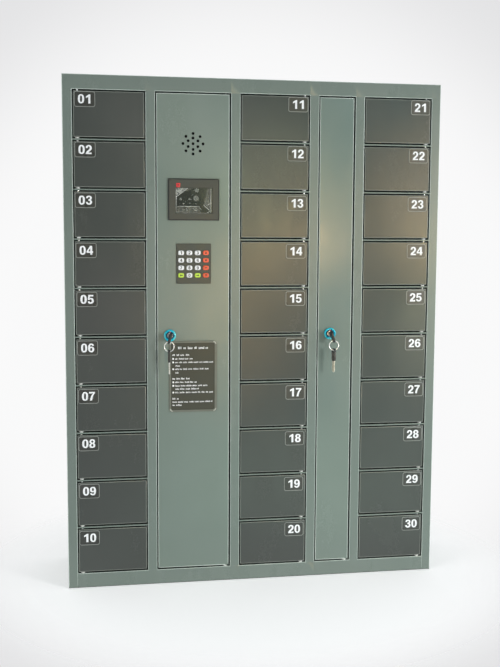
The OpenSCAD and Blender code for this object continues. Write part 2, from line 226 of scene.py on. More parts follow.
def metal(name, base, dark, rough, brushed=(1, 1, 1), scale=300.0, strength=0.2, metallic=1.0):
    m = Mat(name)
    streak = m.noise(scale, 4, 0.6, stretch=brushed)
    blot = m.noise(35.0, 3, 0.5)
    col = m.mix(m.value(blot, 0.0, 0.8, 0.35, 0.75), base, dark)
    col = m.mix(m.value(streak, 0.0, 0.35, 0.4, 0.7), col, dark)
    worn = m.math("MULTIPLY", m.edge(0.0004), 0.6)
    col = m.mix(worn, col, tuple(min(1.0, c * 1.35) for c in base[:3]) + (1.0,))
    m.set(Base_Color=col, Metallic=metallic, Roughness=m.value(streak, rough - 0.06, rough + 0.10, 0.3, 0.7))
    m.bump(streak, strength, 0.00005)
    return m.m


def plastic(name, base, shade, rough, scale=900.0, strength=0.25, speck=0.25, spec=0.5):
    m = Mat(name)
    cloud = m.noise(45.0, 3, 0.5)
    col = m.ramp(cloud, [(0.32, shade), (0.70, base)])
    tex = m.noise(scale, 3, 0.55)
    col = m.mix(m.value(tex, 0.0, speck, 0.35, 0.8), col, shade)
    edge = m.math("MULTIPLY", m.edge(0.0005), 0.35)
    col = m.mix(edge, col, tuple(min(1.0, c * 1.5 + 0.02) for c in base[:3]) + (1.0,))
    m.set(Base_Color=col, Roughness=m.value(cloud, rough - 0.06, rough + 0.08, 0.3, 0.7), Specular_IOR_Level=spec)
    m.bump(tex, strength, 0.00008)
    return m.m


SAGE = powder_coat("sage_paint", rgb(121, 134, 125), rgb(115, 129, 119), rgb(158, 170, 158), 0.21)
# the paler fold paints below are painted highlight along the rounded folds; their dark in the gaps is painted shade
SAGE_FOLD_HIGHLIGHT = powder_coat("sage_fold_highlight", rgb(214, 225, 214), rgb(202, 213, 202), rgb(226, 235, 226), 0.24, 0.2, gap=(0.58, 0.90))
FRAME = powder_coat("sage_frame", rgb(121, 132, 124), rgb(115, 127, 119), rgb(154, 166, 156), 0.27, 0.8, 0.38)
FRAME_FOLD_HIGHLIGHT = powder_coat("sage_frame_fold_highlight", rgb(208, 221, 210), rgb(196, 209, 198), rgb(220, 230, 220), 0.24, 0.2, gap=(0.58, 0.90))
CHARCOAL = powder_coat("charcoal_paint", rgb(74, 78, 74), rgb(69, 73, 69), rgb(100, 103, 97), 0.23, 1.0, 0.4)
CHARCOAL_FOLD_HIGHLIGHT = powder_coat("charcoal_fold_highlight", rgb(146, 151, 142), rgb(132, 137, 128), rgb(164, 168, 160), 0.22, 0.2, 0.5, gap=(0.58, 0.90))
# milder painted highlight for the folds of the shelf bars
BAR_FOLD_HIGHLIGHT = powder_coat("sage_bar_fold_highlight", rgb(134, 147, 136), rgb(126, 139, 128), rgb(170, 182, 171), 0.28, 0.2, gap=(0.50, 0.86))
NYLON = plastic("nylon_washer", rgb(236, 236, 230), rgb(216, 216, 208), 0.40, speck=0.1)
STEEL = metal("zinc_steel", rgb(196, 198, 200), rgb(150, 152, 154), 0.30)
LATCH = metal("latch_steel", rgb(186, 188, 190), rgb(140, 143, 146), 0.38, strength=0.3)
BRASS = metal("pale_brass", rgb(246, 240, 218), rgb(208, 198, 166), 0.26, brushed=(1, 1, 0.08), scale=900, metallic=0.45)
BLADE = metal("nickel_blade", rgb(246, 243, 236), rgb(204, 200, 192), 0.26, brushed=(1, 1, 0.08), scale=900, metallic=0.45)
# pale paint for the key grip's ridges: painted highlight
RIDGE_HIGHLIGHT = plastic("key_grip_ridge_highlight", rgb(176, 170, 152), rgb(140, 134, 120), 0.3, scale=1300, strength=0.35)
CHROME = metal("lock_chrome", rgb(206, 205, 200), rgb(150, 148, 142), 0.24, strength=0.08, metallic=0.55)
RINGST = metal("ring_steel", rgb(254, 254, 252), rgb(214, 214, 210), 0.22, strength=0.12, metallic=0.45)
BEZEL = plastic("bezel_plastic", rgb(61, 65, 60), rgb(55, 59, 54), 0.42)
KEYMETAL = plastic("keypad_metal", rgb(60, 67, 63), rgb(54, 61, 57), 0.36, scale=1500, strength=0.15)
WHITE = plastic("key_white", rgb(254, 254, 252), rgb(246, 247, 245), 0.34, speck=0.06)
RED = plastic("key_red", rgb(252, 108, 72), rgb(240, 92, 60), 0.36, speck=0.12)
YELLOW = plastic("key_yellow", rgb(216, 246, 92), rgb(200, 232, 76), 0.36, speck=0.12)
INK = plastic("legend_ink", rgb(34, 32, 29), rgb(25, 24, 22), 0.5, speck=0.2)
RUBBER = plastic("key_grip_black", rgb(46, 46, 46), rgb(34, 34, 34), 0.38, scale=1300, strength=0.35)
CONE = plastic("speaker_cone", rgb(17, 17, 18), rgb(11, 11, 12), 0.8, scale=700, strength=0.3, speck=0.2, spec=0.15)
BLACK = plastic("black_plastic", rgb(36, 37, 38), rgb(26, 27, 28), 0.45)
LABEL = plastic("label_field", rgb(60, 62, 58), rgb(54, 56, 52), 0.30, scale=1600, strength=0.08)
RIM = plastic("label_rim", rgb(150, 153, 147), rgb(136, 139, 133), 0.36, speck=0.12)
DIGIT = plastic("digit_print", rgb(255, 255, 255), rgb(244, 245, 244), 0.42, scale=2200, strength=0.06, speck=0.05)
PLATE = plastic("plate_print", rgb(54, 57, 48), rgb(51, 54, 45), 0.40, scale=1600, strength=0.08)
# pale rim and corner arcs of the instruction plate: painted highlight on its rounded border
PLATE_RIM_HIGHLIGHT = plastic("plate_rim_highlight", rgb(112, 116, 105), rgb(101, 105, 94), 0.36)
PLATE_CORNER_HIGHLIGHT = plastic("plate_corner_highlight", rgb(200, 201, 190), rgb(184, 185, 174), 0.3, speck=0.1)
PLATE_LINE = plastic("plate_line", rgb(34, 36, 31), rgb(28, 30, 26), 0.4)
PCB = plastic("circuit_board", rgb(28, 92, 58), rgb(20, 74, 46), 0.30, scale=500, strength=0.2)
CASTING = plastic("supply_case", rgb(176, 178, 180), rgb(150, 152, 155), 0.42, scale=600)


def anodised(name):
    m = Mat(name)
    swirl = m.noise(420.0, 3, 0.6)
    blot = m.noise(90.0, 3, 0.5)
    col = m.ramp(blot, [(0.30, rgb(16, 190, 224)), (0.52, rgb(40, 226, 240)), (0.72, rgb(140, 248, 248))])
    col = m.mix(m.value(swirl, 0.0, 0.25, 0.4, 0.7), col, rgb(10, 132, 204))
    edge = m.math("MULTIPLY", m.edge(0.0008), 0.7)
    col = m.mix(edge, col, rgb(170, 246, 246))
    m.set(Base_Color=col, Metallic=0.25, Roughness=m.value(swirl, 0.16, 0.30, 0.3, 0.7))
    m.bump(swirl, 0.12, 0.00004)
    return m.m


def anodised_dark(name):
    m = Mat(name)
    swirl = m.noise(500.0, 3, 0.6)
    col = m.ramp(swirl, [(0.35, rgb(4, 52, 104)), (0.65, rgb(8, 92, 150))])
    m.set(Base_Color=col, Metallic=0.5, Roughness=m.value(swirl, 0.18, 0.32, 0.3, 0.7))
    m.bump(swirl, 0.12, 0.00004)
    return m.m


CYAN = anodised("anodised_rim")
DEEP = anodised_dark("anodised_dish")


def red_paint(name):
    m = Mat(name)
    n = m.noise(900.0, 3, 0.5)
    col = m.ramp(n, [(0.3, rgb(222, 62, 84)), (0.7, rgb(246, 110, 124))])
    m.set(Base_Color=col, Roughness=m.value(n, 0.35, 0.5))
    m.bump(n, 0.1, 0.00004)
    return m.m


DOT = red_paint("red_enamel")
TAB = plastic("red_film_tab", rgb(226, 34, 52), rgb(196, 22, 42), 0.30, speck=0.15)


def screen(name):
    """dark liquid-crystal panel: near black with the faint grey of the cell behind glass"""
    m = Mat(name)
    n = m.noise(24.0, 3, 0.5)
    col = m.ramp(n, [(0.35, rgb(24, 25, 19)), (0.65, rgb(36, 37, 29))])
    m.set(Base_Color=col, Roughness=m.value(n, 0.10, 0.2), Specular_IOR_Level=0.6)
    m.bump(m.noise(1800.0, 1, 0.5), 0.03, 0.00003)
    return m.m


def film(name, milky, alpha):
    """protective film: clear with a milky veil in its creases"""
    m = Mat(name)
    n = m.noise(260.0, 4, 0.6)
    col = m.ramp(n, [(0.3, milky), (0.7, tuple(min(1, c * 1.15) for c in milky[:3]) + (1,))])
    m.set(Base_Color=col, Roughness=m.value(n, 0.08, 0.22))
    m.set(Alpha=m.value(n, alpha * 0.8, min(1.0, alpha * 1.15), 0.3, 0.7))
    m.bump(m.noise(420.0, 3, 0.5), 0.35, 0.0002)
    return m.m


def veil(name, milky, stops, scale, stretch=(1, 1, 1)):
    """blotchy film that has come off the glass: clear patches between milky ones"""
    m = Mat(name)
    n = m.noise(scale, 4, 0.65, stretch=stretch, distort=0.6)
    fine = m.noise(scale * 5, 3, 0.6, stretch=stretch)
    both = m.math("ADD", m.math("MULTIPLY", n, 0.7), m.math("MULTIPLY", fine, 0.3))
    m.set(Base_Color=m.ramp(fine, [(0.3, tuple(c * 0.8 for c in milky[:3]) + (1,)), (0.7, milky)]), Roughness=m.value(fine, 0.12, 0.34))
    lo, hi, a, b = stops
    m.set(Alpha=m.value(both, lo, hi, a, b))
    m.bump(fine, 0.4, 0.0002)
    return m.m


SCREEN = screen("panel_glass")
FILM = film("film_clear", rgb(150, 152, 142), 0.04)
CREASE = film("film_crease", rgb(232, 232, 220), 0.80)
BLOB = film("film_bubble", rgb(168, 170, 158), 0.46)
RINGLET = film("film_bubble_edge", rgb(176, 178, 166), 0.42)
MOTTLE = veil("film_mottled", rgb(196, 198, 188), (0.05, 0.85, 0.38, 0.62), 210.0)
VEIL = veil("film_veil", rgb(160, 162, 152), (0.10, 0.50, 0.36, 0.66), 120.0)
STREAK = veil("film_streaks", rgb(160, 162, 150), (0.04, 0.55, 0.36, 0.66), 150.0, (1.0, 1.0, 0.45))
# paints for the display bezel's outer slopes: painted shade by the side they face; the first also draws the keypad's
# pressed line
BEZEL_EDGE = plastic("bezel_edge", rgb(46, 47, 43), rgb(38, 39, 36), 0.42)
BEZEL_SLOPE_SHADE = plastic("bezel_slope_shade", rgb(42, 42, 37), rgb(34, 34, 30), 0.5)
TAB_DOT = plastic("tab_dot", rgb(120, 24, 34), rgb(98, 18, 28), 0.4, speck=0.15)

# ------------------------------------------------------------------ mesh helpers


class Build:
    """Collects geometry in millimetres with a material on each face."""

    def __init__(self):
        self.bm = bmesh.new()
        self.mats = []

    def mi(self, mat):
        if mat not in self.mats:
            self.mats.append(mat)
        return self.mats.index(mat)

    def face(self, verts, mat, smooth=True):
        try:
            f = self.bm.faces.new(verts)
        except ValueError:
            return None
        f.material_index = self.mi(mat)
        f.smooth = smooth
        return f

    def prism(self, loops, yf, yb, mat, side=None, chamfer=0.0, back=True):
        """a flat shape in x and z with holes, from yf (front) to yb; the first loop is the outline"""
        side = side or mat
        loops = [ccw(l, i == 0) for i, l in enumerate(loops)]
        bm = self.bm
        fronts, rims, backs = [], [], []
        for l in loops:
            if chamfer:
                ins = offset(l, -chamfer)
                fronts.append([bm.verts.new((x, yf, z)) for x, z in ins])
                rims.append([bm.verts.new((x, yf + chamfer, z)) for x, z in l])
            else:
                fronts.append([bm.verts.new((x, yf, z)) for x, z in l])
                rims.append(fronts[-1])
            backs.append([bm.verts.new((x, yb, z)) for x, z in l])
        flat = [v for l in fronts for v in l]
        for a, b, c in tessellate_polygon([[(v.co.x, v.co.z, 0) for v in l] for l in fronts]):
            f = self.face([flat[a], flat[b], flat[c]], mat)
            if f:
                f.normal_update()
                if f.normal.y > 0:
                    f.normal_flip()
        flatb = [v for l in backs for v in l]
        if back:
            for a, b, c in tessellate_polygon([[(v.co.x, v.co.z, 0) for v in l] for l in backs]):
                f = self.face([flatb[a], flatb[b], flatb[c]], side)
                if f:
                    f.normal_update()
                    if f.normal.y < 0:
                        f.normal_flip()
        for fr, ri, ba in zip(fronts, rims, backs):
            n = len(fr)
            for i in range(n):
                j = (i + 1) % n
                if chamfer:
                    self.face([fr[j], fr[i], ri[i], ri[j]], side)
                self.face([ri[j], ri[i], ba[i], ba[j]], side)

    def box(self, xa, xb, ya, yb, za, zb, mat, bevel=0.0, seg=2):
        vs = [self.bm.verts.new((x, y, z)) for x in (xa, xb) for y in (ya, yb) for z in (za, zb)]
        quads = ((0, 1, 3, 2), (4, 6, 7, 5), (0, 4, 5, 1), (2, 3, 7, 6), (0, 2, 6, 4), (1, 5, 7, 3))
        fs = [self.face([vs[i] for i in q], mat) for q in quads]
        if bevel:
            es = list({e for f in fs for e in f.edges})
            r = bmesh.ops.bevel(self.bm, geom=es, offset=bevel, offset_type="OFFSET", segments=seg,
                                profile=0.5, affect="EDGES", clamp_overlap=True, material=-1)
            for f in r["faces"]:
                f.smooth = True
        return fs

    def lathe(self, profile, centre, axis, mats, seg=48, cap0=False, cap1=False):
        """profile is (radius, distance along axis); mats one per band, or one for all"""
        axis = Vector(axis).normalized()
        u = axis.orthogonal().normalized()
        if abs(axis.y) > 0.9:
            u = Vector((1, 0, 0))
        v = axis.cross(u)
        rings = []
        for r, d in profile:
            base = Vector(centre) + axis * d
            if r < 1e-6:
                rings.append([self.bm.verts.new(base)])
            else:
                rings.append([self.bm.verts.new(base + (u * math.cos(2 * math.pi * k / seg) + v * math.sin(2 * math.pi * k / seg)) * r)
                              for k in range(seg)])
        for i in range(len(rings) - 1):
            a, b = rings[i], rings[i + 1]
            mat = mats if not isinstance(mats, (list, tuple)) else mats[min(i, len(mats) - 1)]
            for k in range(seg):
                j = (k + 1) % seg
                if len(a) == 1 and len(b) == 1:
                    continue
                if len(a) == 1:
                    self.face([a[0], b[k], b[j]], mat)
                elif len(b) == 1:
                    self.face([a[k], b[0], a[j]], mat)
                else:
                    self.face([a[k], b[k], b[j], a[j]], mat)
        first = mats if not isinstance(mats, (list, tuple)) else mats[0]
        last = mats if not isinstance(mats, (list, tuple)) else mats[-1]
        if cap0 and len(rings[0]) > 1:
            self.face(rings[0], first)
        if cap1 and len(rings[-1]) > 1:
            self.face(rings[-1][::-1], last)

    def tube(self, path, radius, mat, seg=12, closed=False, caps=True):
        """round bar along a list of points"""
        pts = [Vector(p) for p in path]
        n = len(pts)
        rings, up = [], None
        for i, p in enumerate(pts):
            if closed:
                t = (pts[(i + 1) % n] - pts[i - 1]).normalized()
            else:
                t = (pts[min(i + 1, n - 1)] - pts[max(i - 1, 0)]).normalized()
            if up is None:
                up = t.orthogonal().normalized()
            up = (up - t * up.dot(t)).normalized()
            w = t.cross(up)
            r = radius(i / (n - 1)) if callable(radius) else radius
            rings.append([self.bm.verts.new(p + (up * math.cos(2 * math.pi * k / seg) + w * math.sin(2 * math.pi * k / seg)) * r)
                          for k in range(seg)])
        for i in range(n if closed else n - 1):
            a, b = rings[i], rings[(i + 1) % n]
            for k in range(seg):
                j = (k + 1) % seg
                self.face([a[k], b[k], b[j], a[j]], mat)
        if caps and not closed:
            self.face(rings[0], mat)
            self.face(rings[-1][::-1], mat)

    def add(self, other, matrix):
        """joins another Build, moved by matrix"""
        me = bpy.data.meshes.new("tmp")
        other.bm.to_mesh(me)
        had_v, had_f = set(self.bm.verts), set(self.bm.faces)
        self.bm.from_mesh(me)
        for v in self.bm.verts:
            if v not in had_v:
                v.co = matrix @ v.co
        for f in self.bm.faces:
            if f not in had_f:
                f.material_index = self.mi(other.mats[f.material_index])
        bpy.data.meshes.remove(me)

    def done(self, name, body, slot=None, replaces=(), fix_normals=True, sharp=38.0, weighted=True):
        bm = self.bm
        if fix_normals:
            bmesh.ops.recalc_face_normals(bm, faces=bm.faces)
        bmesh.ops.scale(bm, vec=(MM, MM, MM), verts=bm.verts)
        me = bpy.data.meshes.new(name)
        bm.to_mesh(me)
        bm.free()
        for m in self.mats:
            me.materials.append(m)
        me.set_sharp_from_angle(angle=math.radians(sharp))
        o = bpy.data.objects.new(name, me)
        scene.collection.objects.link(o)
        if weighted:
            w = o.modifiers.new("weighted", "WEIGHTED_NORMAL")
            w.keep_sharp = True
            w.weight = 50
        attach(o, body)
        if replaces:
            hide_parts(*replaces)
        return o


def area(l):
    return 0.5 * sum(l[i - 1][0] * l[i][1] - l[i][0] * l[i - 1][1] for i in range(len(l)))


def ccw(l, want=True):
    l = list(l)
    return l if (area(l) > 0) == want else l[::-1]


def offset(l, d):
    """moves an outline outwards by d (counter-clockwise outline) by mitred normals"""
    n, out = len(l), []
    for i in range(n):
        p, a, b = Vector(l[i]), Vector(l[i - 1]), Vector(l[(i + 1) % n])
        e1, e2 = (p - a).normalized(), (b - p).normalized()
        n1, n2 = Vector((e1.y, -e1.x)), Vector((e2.y, -e2.x))
        m = n1 + n2
        k = m.length_squared
        m = m * (2.0 / k) if k > 0.2 else n1
        out.append((p.x + m.x * d, p.y + m.y * d))
    return out


def rrect(cx, cz, w, h, r, n=6):
    out = []
    for sx, sz, a0 in ((1, 1, 0), (-1, 1, 90), (-1, -1, 180), (1, -1, 270)):
        for k in range(n + 1):
            a = math.radians(a0 + 90.0 * k / n)
            out.append((cx + sx * (w / 2 - r) + r * math.cos(a), cz + sz * (h / 2 - r) + r * math.sin(a)))
    return out


def circle(cx, cz, r, n=24, start=0.0):
    return [(cx + r * math.cos(2 * math.pi * k / n + start), cz + r * math.sin(2 * math.pi * k / n + start)) for k in range(n)]


# ------------------------------------------------------------------ digits
# outlines of plain bold figures, 100 units high. M move, L line, C curve
GLYPHS = {
    "0": "M 33 -1 C 11 -1 1 17 1 50 C 1 83 11 101 33 101 C 55 101 65 83 65 50 C 65 17 55 -1 33 -1 Z "
         "M 33 15 C 41 15 44 25 44 50 C 44 75 41 85 33 85 C 25 85 22 75 22 50 C 22 25 25 15 33 15 Z",
    "1": "M 25 0 L 47 0 L 47 100 L 32 100 L 2 79 L 2 60 L 25 73 Z",
    "2": "M 2 0 L 63 0 L 63 17 L 31 17 C 35 24 41 30 49 37 C 59 46 64 55 64 69 C 64 88 51 101 33 101 "
         "C 14 101 3 89 3 66 L 23 66 C 23 78 26 84 33 84 C 39 84 43 79 43 70 C 43 61 38 54 28 45 C 11 30 3 19 2 0 Z",
    "3": "M 2 30 C 3 10 14 -1 33 -1 C 52 -1 65 11 65 29 C 65 41 59 49 49 52.5 C 58 56 62.5 63 62.5 73 "
         "C 62.5 90 51 101 33 101 C 15 101 4.5 91 4 72 L 23.5 72 C 24 80.5 27 84.5 33 84.5 C 39 84.5 42.5 80.5 42.5 73 "
         "C 42.5 64 38 60 27 60 L 27 44.5 C 39 44.5 44 40 44 30 C 44 21 40 15.5 33 15.5 C 26 15.5 23 20.5 22.5 30 Z",
    "4": "M 38 0 L 58 0 L 58 22 L 67 22 L 67 38 L 58 38 L 58 100 L 36 100 L 1 40 L 1 22 L 38 22 Z "
         "M 38 38 L 38 74 L 17 38 Z",
    "5": "M 2 27 C 4 9 14 -1 32 -1 C 52 -1 65 12 65 33 C 65 53 54 65.5 38 65.5 C 31 65.5 26 63.5 22 59.5 "
         "L 24.5 83 L 61 83 L 61 100 L 9 100 L 3 44 L 21 44 C 23.5 48.5 27 50.5 32 50.5 C 40 50.5 44.5 44.5 44.5 33.5 "
         "C 44.5 22.5 40 15.5 32 15.5 C 26 15.5 23 19.5 22 27 Z",
    "6": "M 63 75 C 61 92 51 101 35 101 C 12 101 1 83 1 48 C 1 16 12 -1 34 -1 C 53 -1 65 12 65 33 "
         "C 65 53 54 65.5 38 65.5 C 31 65.5 26 63 22 57.5 C 22.5 76 26.5 84.5 34 84.5 C 39.5 84.5 42.5 81.5 43 75 Z "
         "M 33.5 15 C 40.5 15 44.5 21.5 44.5 32.5 C 44.5 43 40.5 49.5 33.5 49.5 C 26.5 49.5 22.5 43 22.5 32.5 "
         "C 22.5 21.5 26.5 15 33.5 15 Z",
    "7": "M 12 0 L 34 0 C 36 36 47 64 64 84 L 64 100 L 3 100 L 3 82 L 43 82 C 25 61 14 33 12 0 Z",
    "8": "M 33 -1 C 52.5 -1 65 10.5 65 28.5 C 65 40.5 59 49 49.5 52.5 C 58 56.5 62.5 63.5 62.5 73.5 "
         "C 62.5 90 51 101 33 101 C 15 101 3.5 90 3.5 73.5 C 3.5 63.5 8 56.5 16.5 52.5 C 7 49 1 40.5 1 28.5 "
         "C 1 10.5 13.5 -1 33 -1 Z "
         "M 33 60 C 39 60 42.5 64.5 42.5 72.5 C 42.5 80.5 39 85.5 33 85.5 C 27 85.5 23.5 80.5 23.5 72.5 "
         "C 23.5 64.5 27 60 33 60 Z "
         "M 33 14.5 C 40 14.5 44 20 44 29.5 C 44 39 40 44.5 33 44.5 C 26 44.5 22 39 22 29.5 C 22 20 26 14.5 33 14.5 Z",
}


def outlines(ch, steps=7):
    if ch == "9":
        return [[(66 - x, 100 - z) for x, z in l] for l in outlines("6", steps)]
    words, loops, i = GLYPHS[ch].split(), [], 0
    while i < len(words):
        w = words[i]
        if w == "M":
            loops.append([(float(words[i + 1]), float(words[i + 2]))])
            i += 3
        elif w == "L":
            loops[-1].append((float(words[i + 1]), float(words[i + 2])))
            i += 3
        elif w == "C":
            p0 = loops[-1][-1]
            p1, p2, p3 = [(float(words[i + k]), float(words[i + k + 1])) for k in (1, 3, 5)]
            for s in range(1, steps + 1):
                t = s / steps
                u = 1 - t
                loops[-1].append(tuple(u ** 3 * a + 3 * u * u * t * b + 3 * u * t * t * c + t ** 3 * d
                                       for a, b, c, d in zip(p0, p1, p2, p3)))
            i += 7
        else:
            i += 1
    for l in loops:
        if math.dist(l[0], l[-1]) < 1e-6:
            l.pop()
    return loops


def write_digits(b, text, cx, cz, height, yf, yb, mat, advance=0.70, widen=1.0, steps=7):
    """digits centred on cx, cz"""
    s = height / 100.0
    total = (len(text) - 1) * advance * height * widen
    for k, ch in enumerate(text):
        ls = outlines(ch, steps)
        w = 66 if ch != "1" else 50
        ox = cx - total / 2 + k * advance * height * widen - w / 2 * s * widen
        b.prism([[(ox + x * s * widen, cz - height / 2 + z * s) for x, z in l] for l in ls], yf, yb, mat)


# ------------------------------------------------------------------ CAD meshes made finer
def cad_build(node):
    """the CAD node's solids, welded and with flat faces joined, in millimetres"""
    b = Build()
    bm = b.bm
    bm.from_mesh(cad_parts[node].data)
    bmesh.ops.scale(bm, vec=(1000, 1000, 1000), verts=bm.verts)
    bmesh.ops.remove_doubles(bm, verts=bm.verts, dist=0.004)
    bmesh.ops.dissolve_limit(bm, angle_limit=math.radians(0.6), verts=bm.verts, edges=bm.edges,
                             use_dissolve_boundaries=False, delimit=set())
    for f in bm.faces:
        f.smooth = True
        f.material_index = 0
    return b


def islands(bm):
    seen, out = set(), []
    for f in bm.faces:
        if f in seen:
            continue
        stack, isl = [f], []
        seen.add(f)
        while stack:
            g = stack.pop()
            isl.append(g)
            for e in g.edges:
                for h in e.link_faces:
                    if h not in seen:
                        seen.add(h)
                        stack.append(h)
        out.append(isl)
    return out


def span(faces):
    vs = [v.co for f in faces for v in f.verts]
    return (Vector((min(v.x for v in vs), min(v.y for v in vs), min(v.z for v in vs))),
            Vector((max(v.x for v in vs), max(v.y for v in vs), max(v.z for v in vs))))


def fold(b, pick, width, seg=3, mat=None):
    """rounds the edges that pick(a, b) wants, a and b being their ends"""
    bm = b.bm
    bm.normal_update()
    es = [e for e in bm.edges if len(e.link_faces) == 2 and e.calc_face_angle(0) > 1.2 and e.is_convex
          and pick(e.verts[0].co, e.verts[1].co)]
    if es:
        r = bmesh.ops.bevel(bm, geom=es, offset=width, offset_type="OFFSET", segments=seg, profile=0.5,
                            affect="EDGES", clamp_overlap=False, material=-1)
        for f in r["faces"]:
            f.smooth = True
            if mat is not None:
                f.material_index = b.mi(mat)
    return len(es)


def cut(b, faces, co, no):
    """splits the faces where the plane meets them"""
    geom = list(faces) + list({e for f in faces for e in f.edges}) + list({v for f in faces for v in f.verts})
    r = bmesh.ops.bisect_plane(b.bm, geom=geom, plane_co=co, plane_no=no, dist=0.001)
    return [g for g in r["geom"] if isinstance(g, bmesh.types.BMFace)]


def near(v, w, t=0.02):
    return abs(v - w) < t


# ------------------------------------------------------------------ cabinet
DOORWAYS = [(X1, X1 + CELL_W), (X2, X2 + CONTROL_W), (X3, X3 + CELL_W), (X4, X4 + SERVICE_W), (X5, X6)]


def in_doorway(x):
    return any(a + 1 < x < e - 1 for a, e in DOORWAYS)


def cabinet():
    b = cad_build("cabinet_shell")
    b.mi(FRAME)
    # the rails' long edges are split at the doorways, so that only the edge that shows is rounded
    for x in sorted({v for d in DOORWAYS for v in d}):
        for z0, z1 in ((ZT - 0.5, CASE_H + 0.5), (ZB - 1.5, ZB + 0.5)):
            pick = [f for f in b.bm.faces if any(v.co.y < YF + 0.01 for v in f.verts)
                    and all(z0 < v.co.z < z1 or (z0 < ZB and v.co.z < z1) for v in f.verts)]
            cut(b, pick, (x, 0, 0), (1, 0, 0))
    b.bm.normal_update()
    mid = lambda p, q: (p.x + q.x) / 2
    side = CASE_W / 2

    def shown(p, q):
        if not (near(p.y, YF) and near(q.y, YF)):
            return False
        if near(p.x, q.x):
            return (p - q).length > (20 if near(abs(p.x), side) else 60)
        return near(p.z, q.z) and (near(p.z, CASE_H) or near(p.z, 0.0)
                                   or (near(p.z, ZT) or near(p.z, ZB)) and in_doorway(mid(p, q)))

    # the rounded folds get a paler paint: painted highlight, also on the dividers and shelves below
    fold(b, shown, 1.1, 4, FRAME_FOLD_HIGHLIGHT)
    fold(b, lambda p, q: near(p.z, CASE_H) and near(q.z, CASE_H) and near(abs(p.x), side) and near(abs(q.x), side)
         and (p - q).length > 60, 1.1, 4, FRAME_FOLD_HIGHLIGHT)
    b.done("shell_panels", "cabinet", "sage_paint", ["cabinet_shell"])

    b = cad_build("column_dividers")
    b.mi(FRAME)
    fold(b, lambda p, q: near(p.y, YF) and near(q.y, YF) and abs(p.z - q.z) > 60, 1.1, 4, FRAME_FOLD_HIGHLIGHT)
    b.done("divider_panels", "cabinet", "sage_paint", ["column_dividers"])

    b = cad_build("shelves")
    b.mi(FRAME)
    fold(b, lambda p, q: near(p.y, YF) and near(q.y, YF) and abs(p.x - q.x) > 60, 0.8, 4, BAR_FOLD_HIGHLIGHT)
    b.done("shelf_panels", "cabinet", "sage_paint", ["shelves"])


# ------------------------------------------------------------------ doors
def pan(b, xa, xb, za, zb, depth, mat, fold_highlight_mat, r=1.6):
    """folded pan, open at the back, with rounded folds and 1 mm walls; the rounding gets the paler fold paint, a
    painted highlight
    """
    t = 1.0
    bm = b.bm
    c = [(xa, za), (xb, za), (xb, zb), (xa, zb)]
    fr = [bm.verts.new((x, YD, z)) for x, z in c]
    bk = [bm.verts.new((x, YD + depth, z)) for x, z in c]
    fs = [b.face(fr, mat)]
    for i in range(4):
        j = (i + 1) % 4
        fs.append(b.face([fr[i], bk[i], bk[j], fr[j]], mat))
    es = [e for e in fs[0].edges]
    r1 = bmesh.ops.bevel(bm, geom=es, offset=r, offset_type="OFFSET", segments=4, profile=0.5,
                         affect="EDGES", clamp_overlap=True, material=-1)
    shell = {f for v in fr + bk if v.is_valid for f in v.link_faces} | set(r1["faces"])
    grown = set(shell)
    for f in list(shell):
        for e in f.edges:
            grown.update(e.link_faces)
    faces = [f for f in grown if f.is_valid]
    bmesh.ops.recalc_face_normals(bm, faces=faces)
    big = max(faces, key=lambda f: f.calc_area())
    if big.normal.y > 0:
        bmesh.ops.reverse_faces(bm, faces=faces)
    bmesh.ops.solidify(bm, geom=faces, thickness=t)
    for f in bm.faces:
        f.material_index = b.mi(mat)
        f.smooth = True
        c = f.calc_center_median()
        side = min(c.x - xa, xb - c.x, c.z - za, zb - c.z)
        if side < r and c.y - YD < r and math.hypot(r - side, r - (c.y - YD)) > r - 0.5:
            f.material_index = b.mi(fold_highlight_mat)


def pivots(b, xp, za, zb):
    """two pins, the lower one with its washer in the gap"""
    reach = (BAR - 0.4) / 2
    for z0, z1 in ((za - reach, za + LOW + 4), (zb - TOP - 4, zb + reach)):
        b.lathe([(0, z0), (1.7, z0), (2.0, z0 + 0.3), (2.0, z1 - 0.3), (1.7, z1), (0, z1)], (xp, YP, 0), (0, 0, 1), STEEL, 32)
    w0, w1 = za + 0.2, za + LOW - 0.02
    b.lathe([(2.02, w0), (3.75, w0), (4.0, w0 + 0.25), (4.0, w1 - 0.25), (3.75, w1), (2.02, w1), (2.02, w0)],
            (xp, YP, 0), (0, 0, 1), NYLON, 32)


# the labels are stuck on by hand, so each sits a little differently (mm from its place)
NUDGE = [(-0.6, 0.5), (-0.8, 0.7), (-1.6, -0.2), (-1.2, -1.2), (-0.6, -1.0), (-0.8, -1.0), (-0.2, -1.4), (-0.8, -0.8), (-0.6, -1.5),
         (-1.3, -1.5), (-1.2, 0.6), (-2.3, -0.2), (-2.3, -2.4), (-3.7, -2.3), (-3.6, -1.9), (-2.7, -1.3), (-2.1, -2.6), (-2.5, -2.3),
         (-3.6, -2.1), (-1.9, -2.3), (-0.4, 0.7), (-2.7, 0.0), (-3.0, -2.1), (-3.0, -1.7), (-2.3, -1.3), (-2.7, -0.7), (-1.9, -2.0),
         (-2.3, -1.3), (-1.9, -1.5), (-1.7, -2.2)]


def label(b, n, xl, xr, zt, left):
    """number plate: dark field, thin paler rounded rim, white figures. xl, xr and zt are the doorway's edges"""
    w, h = 40.6, 29.6
    cx = (xl + 25.2 if left else xr - 23.2) + NUDGE[n - 1][0]
    cz = zt - 19.2 + NUDGE[n - 1][1]
    outer = rrect(cx, cz, w, h, 4.2, 7)
    inner = rrect(cx, cz, w - 2.4, h - 2.4, 3.1, 7)
    b.prism([outer, inner[::-1]], YD - 0.50, YD + 0.02, RIM, chamfer=0.12)
    b.prism([rrect(cx, cz, w - 2.5, h - 2.5, 3.0, 7)], YD - 0.28, YD + 0.02, LABEL)
    write_digits(b, "%02d" % n, cx + 0.2, cz + 0.2, 17.4, YD - 0.44, YD - 0.27, DIGIT, advance=0.72, widen=1.10)


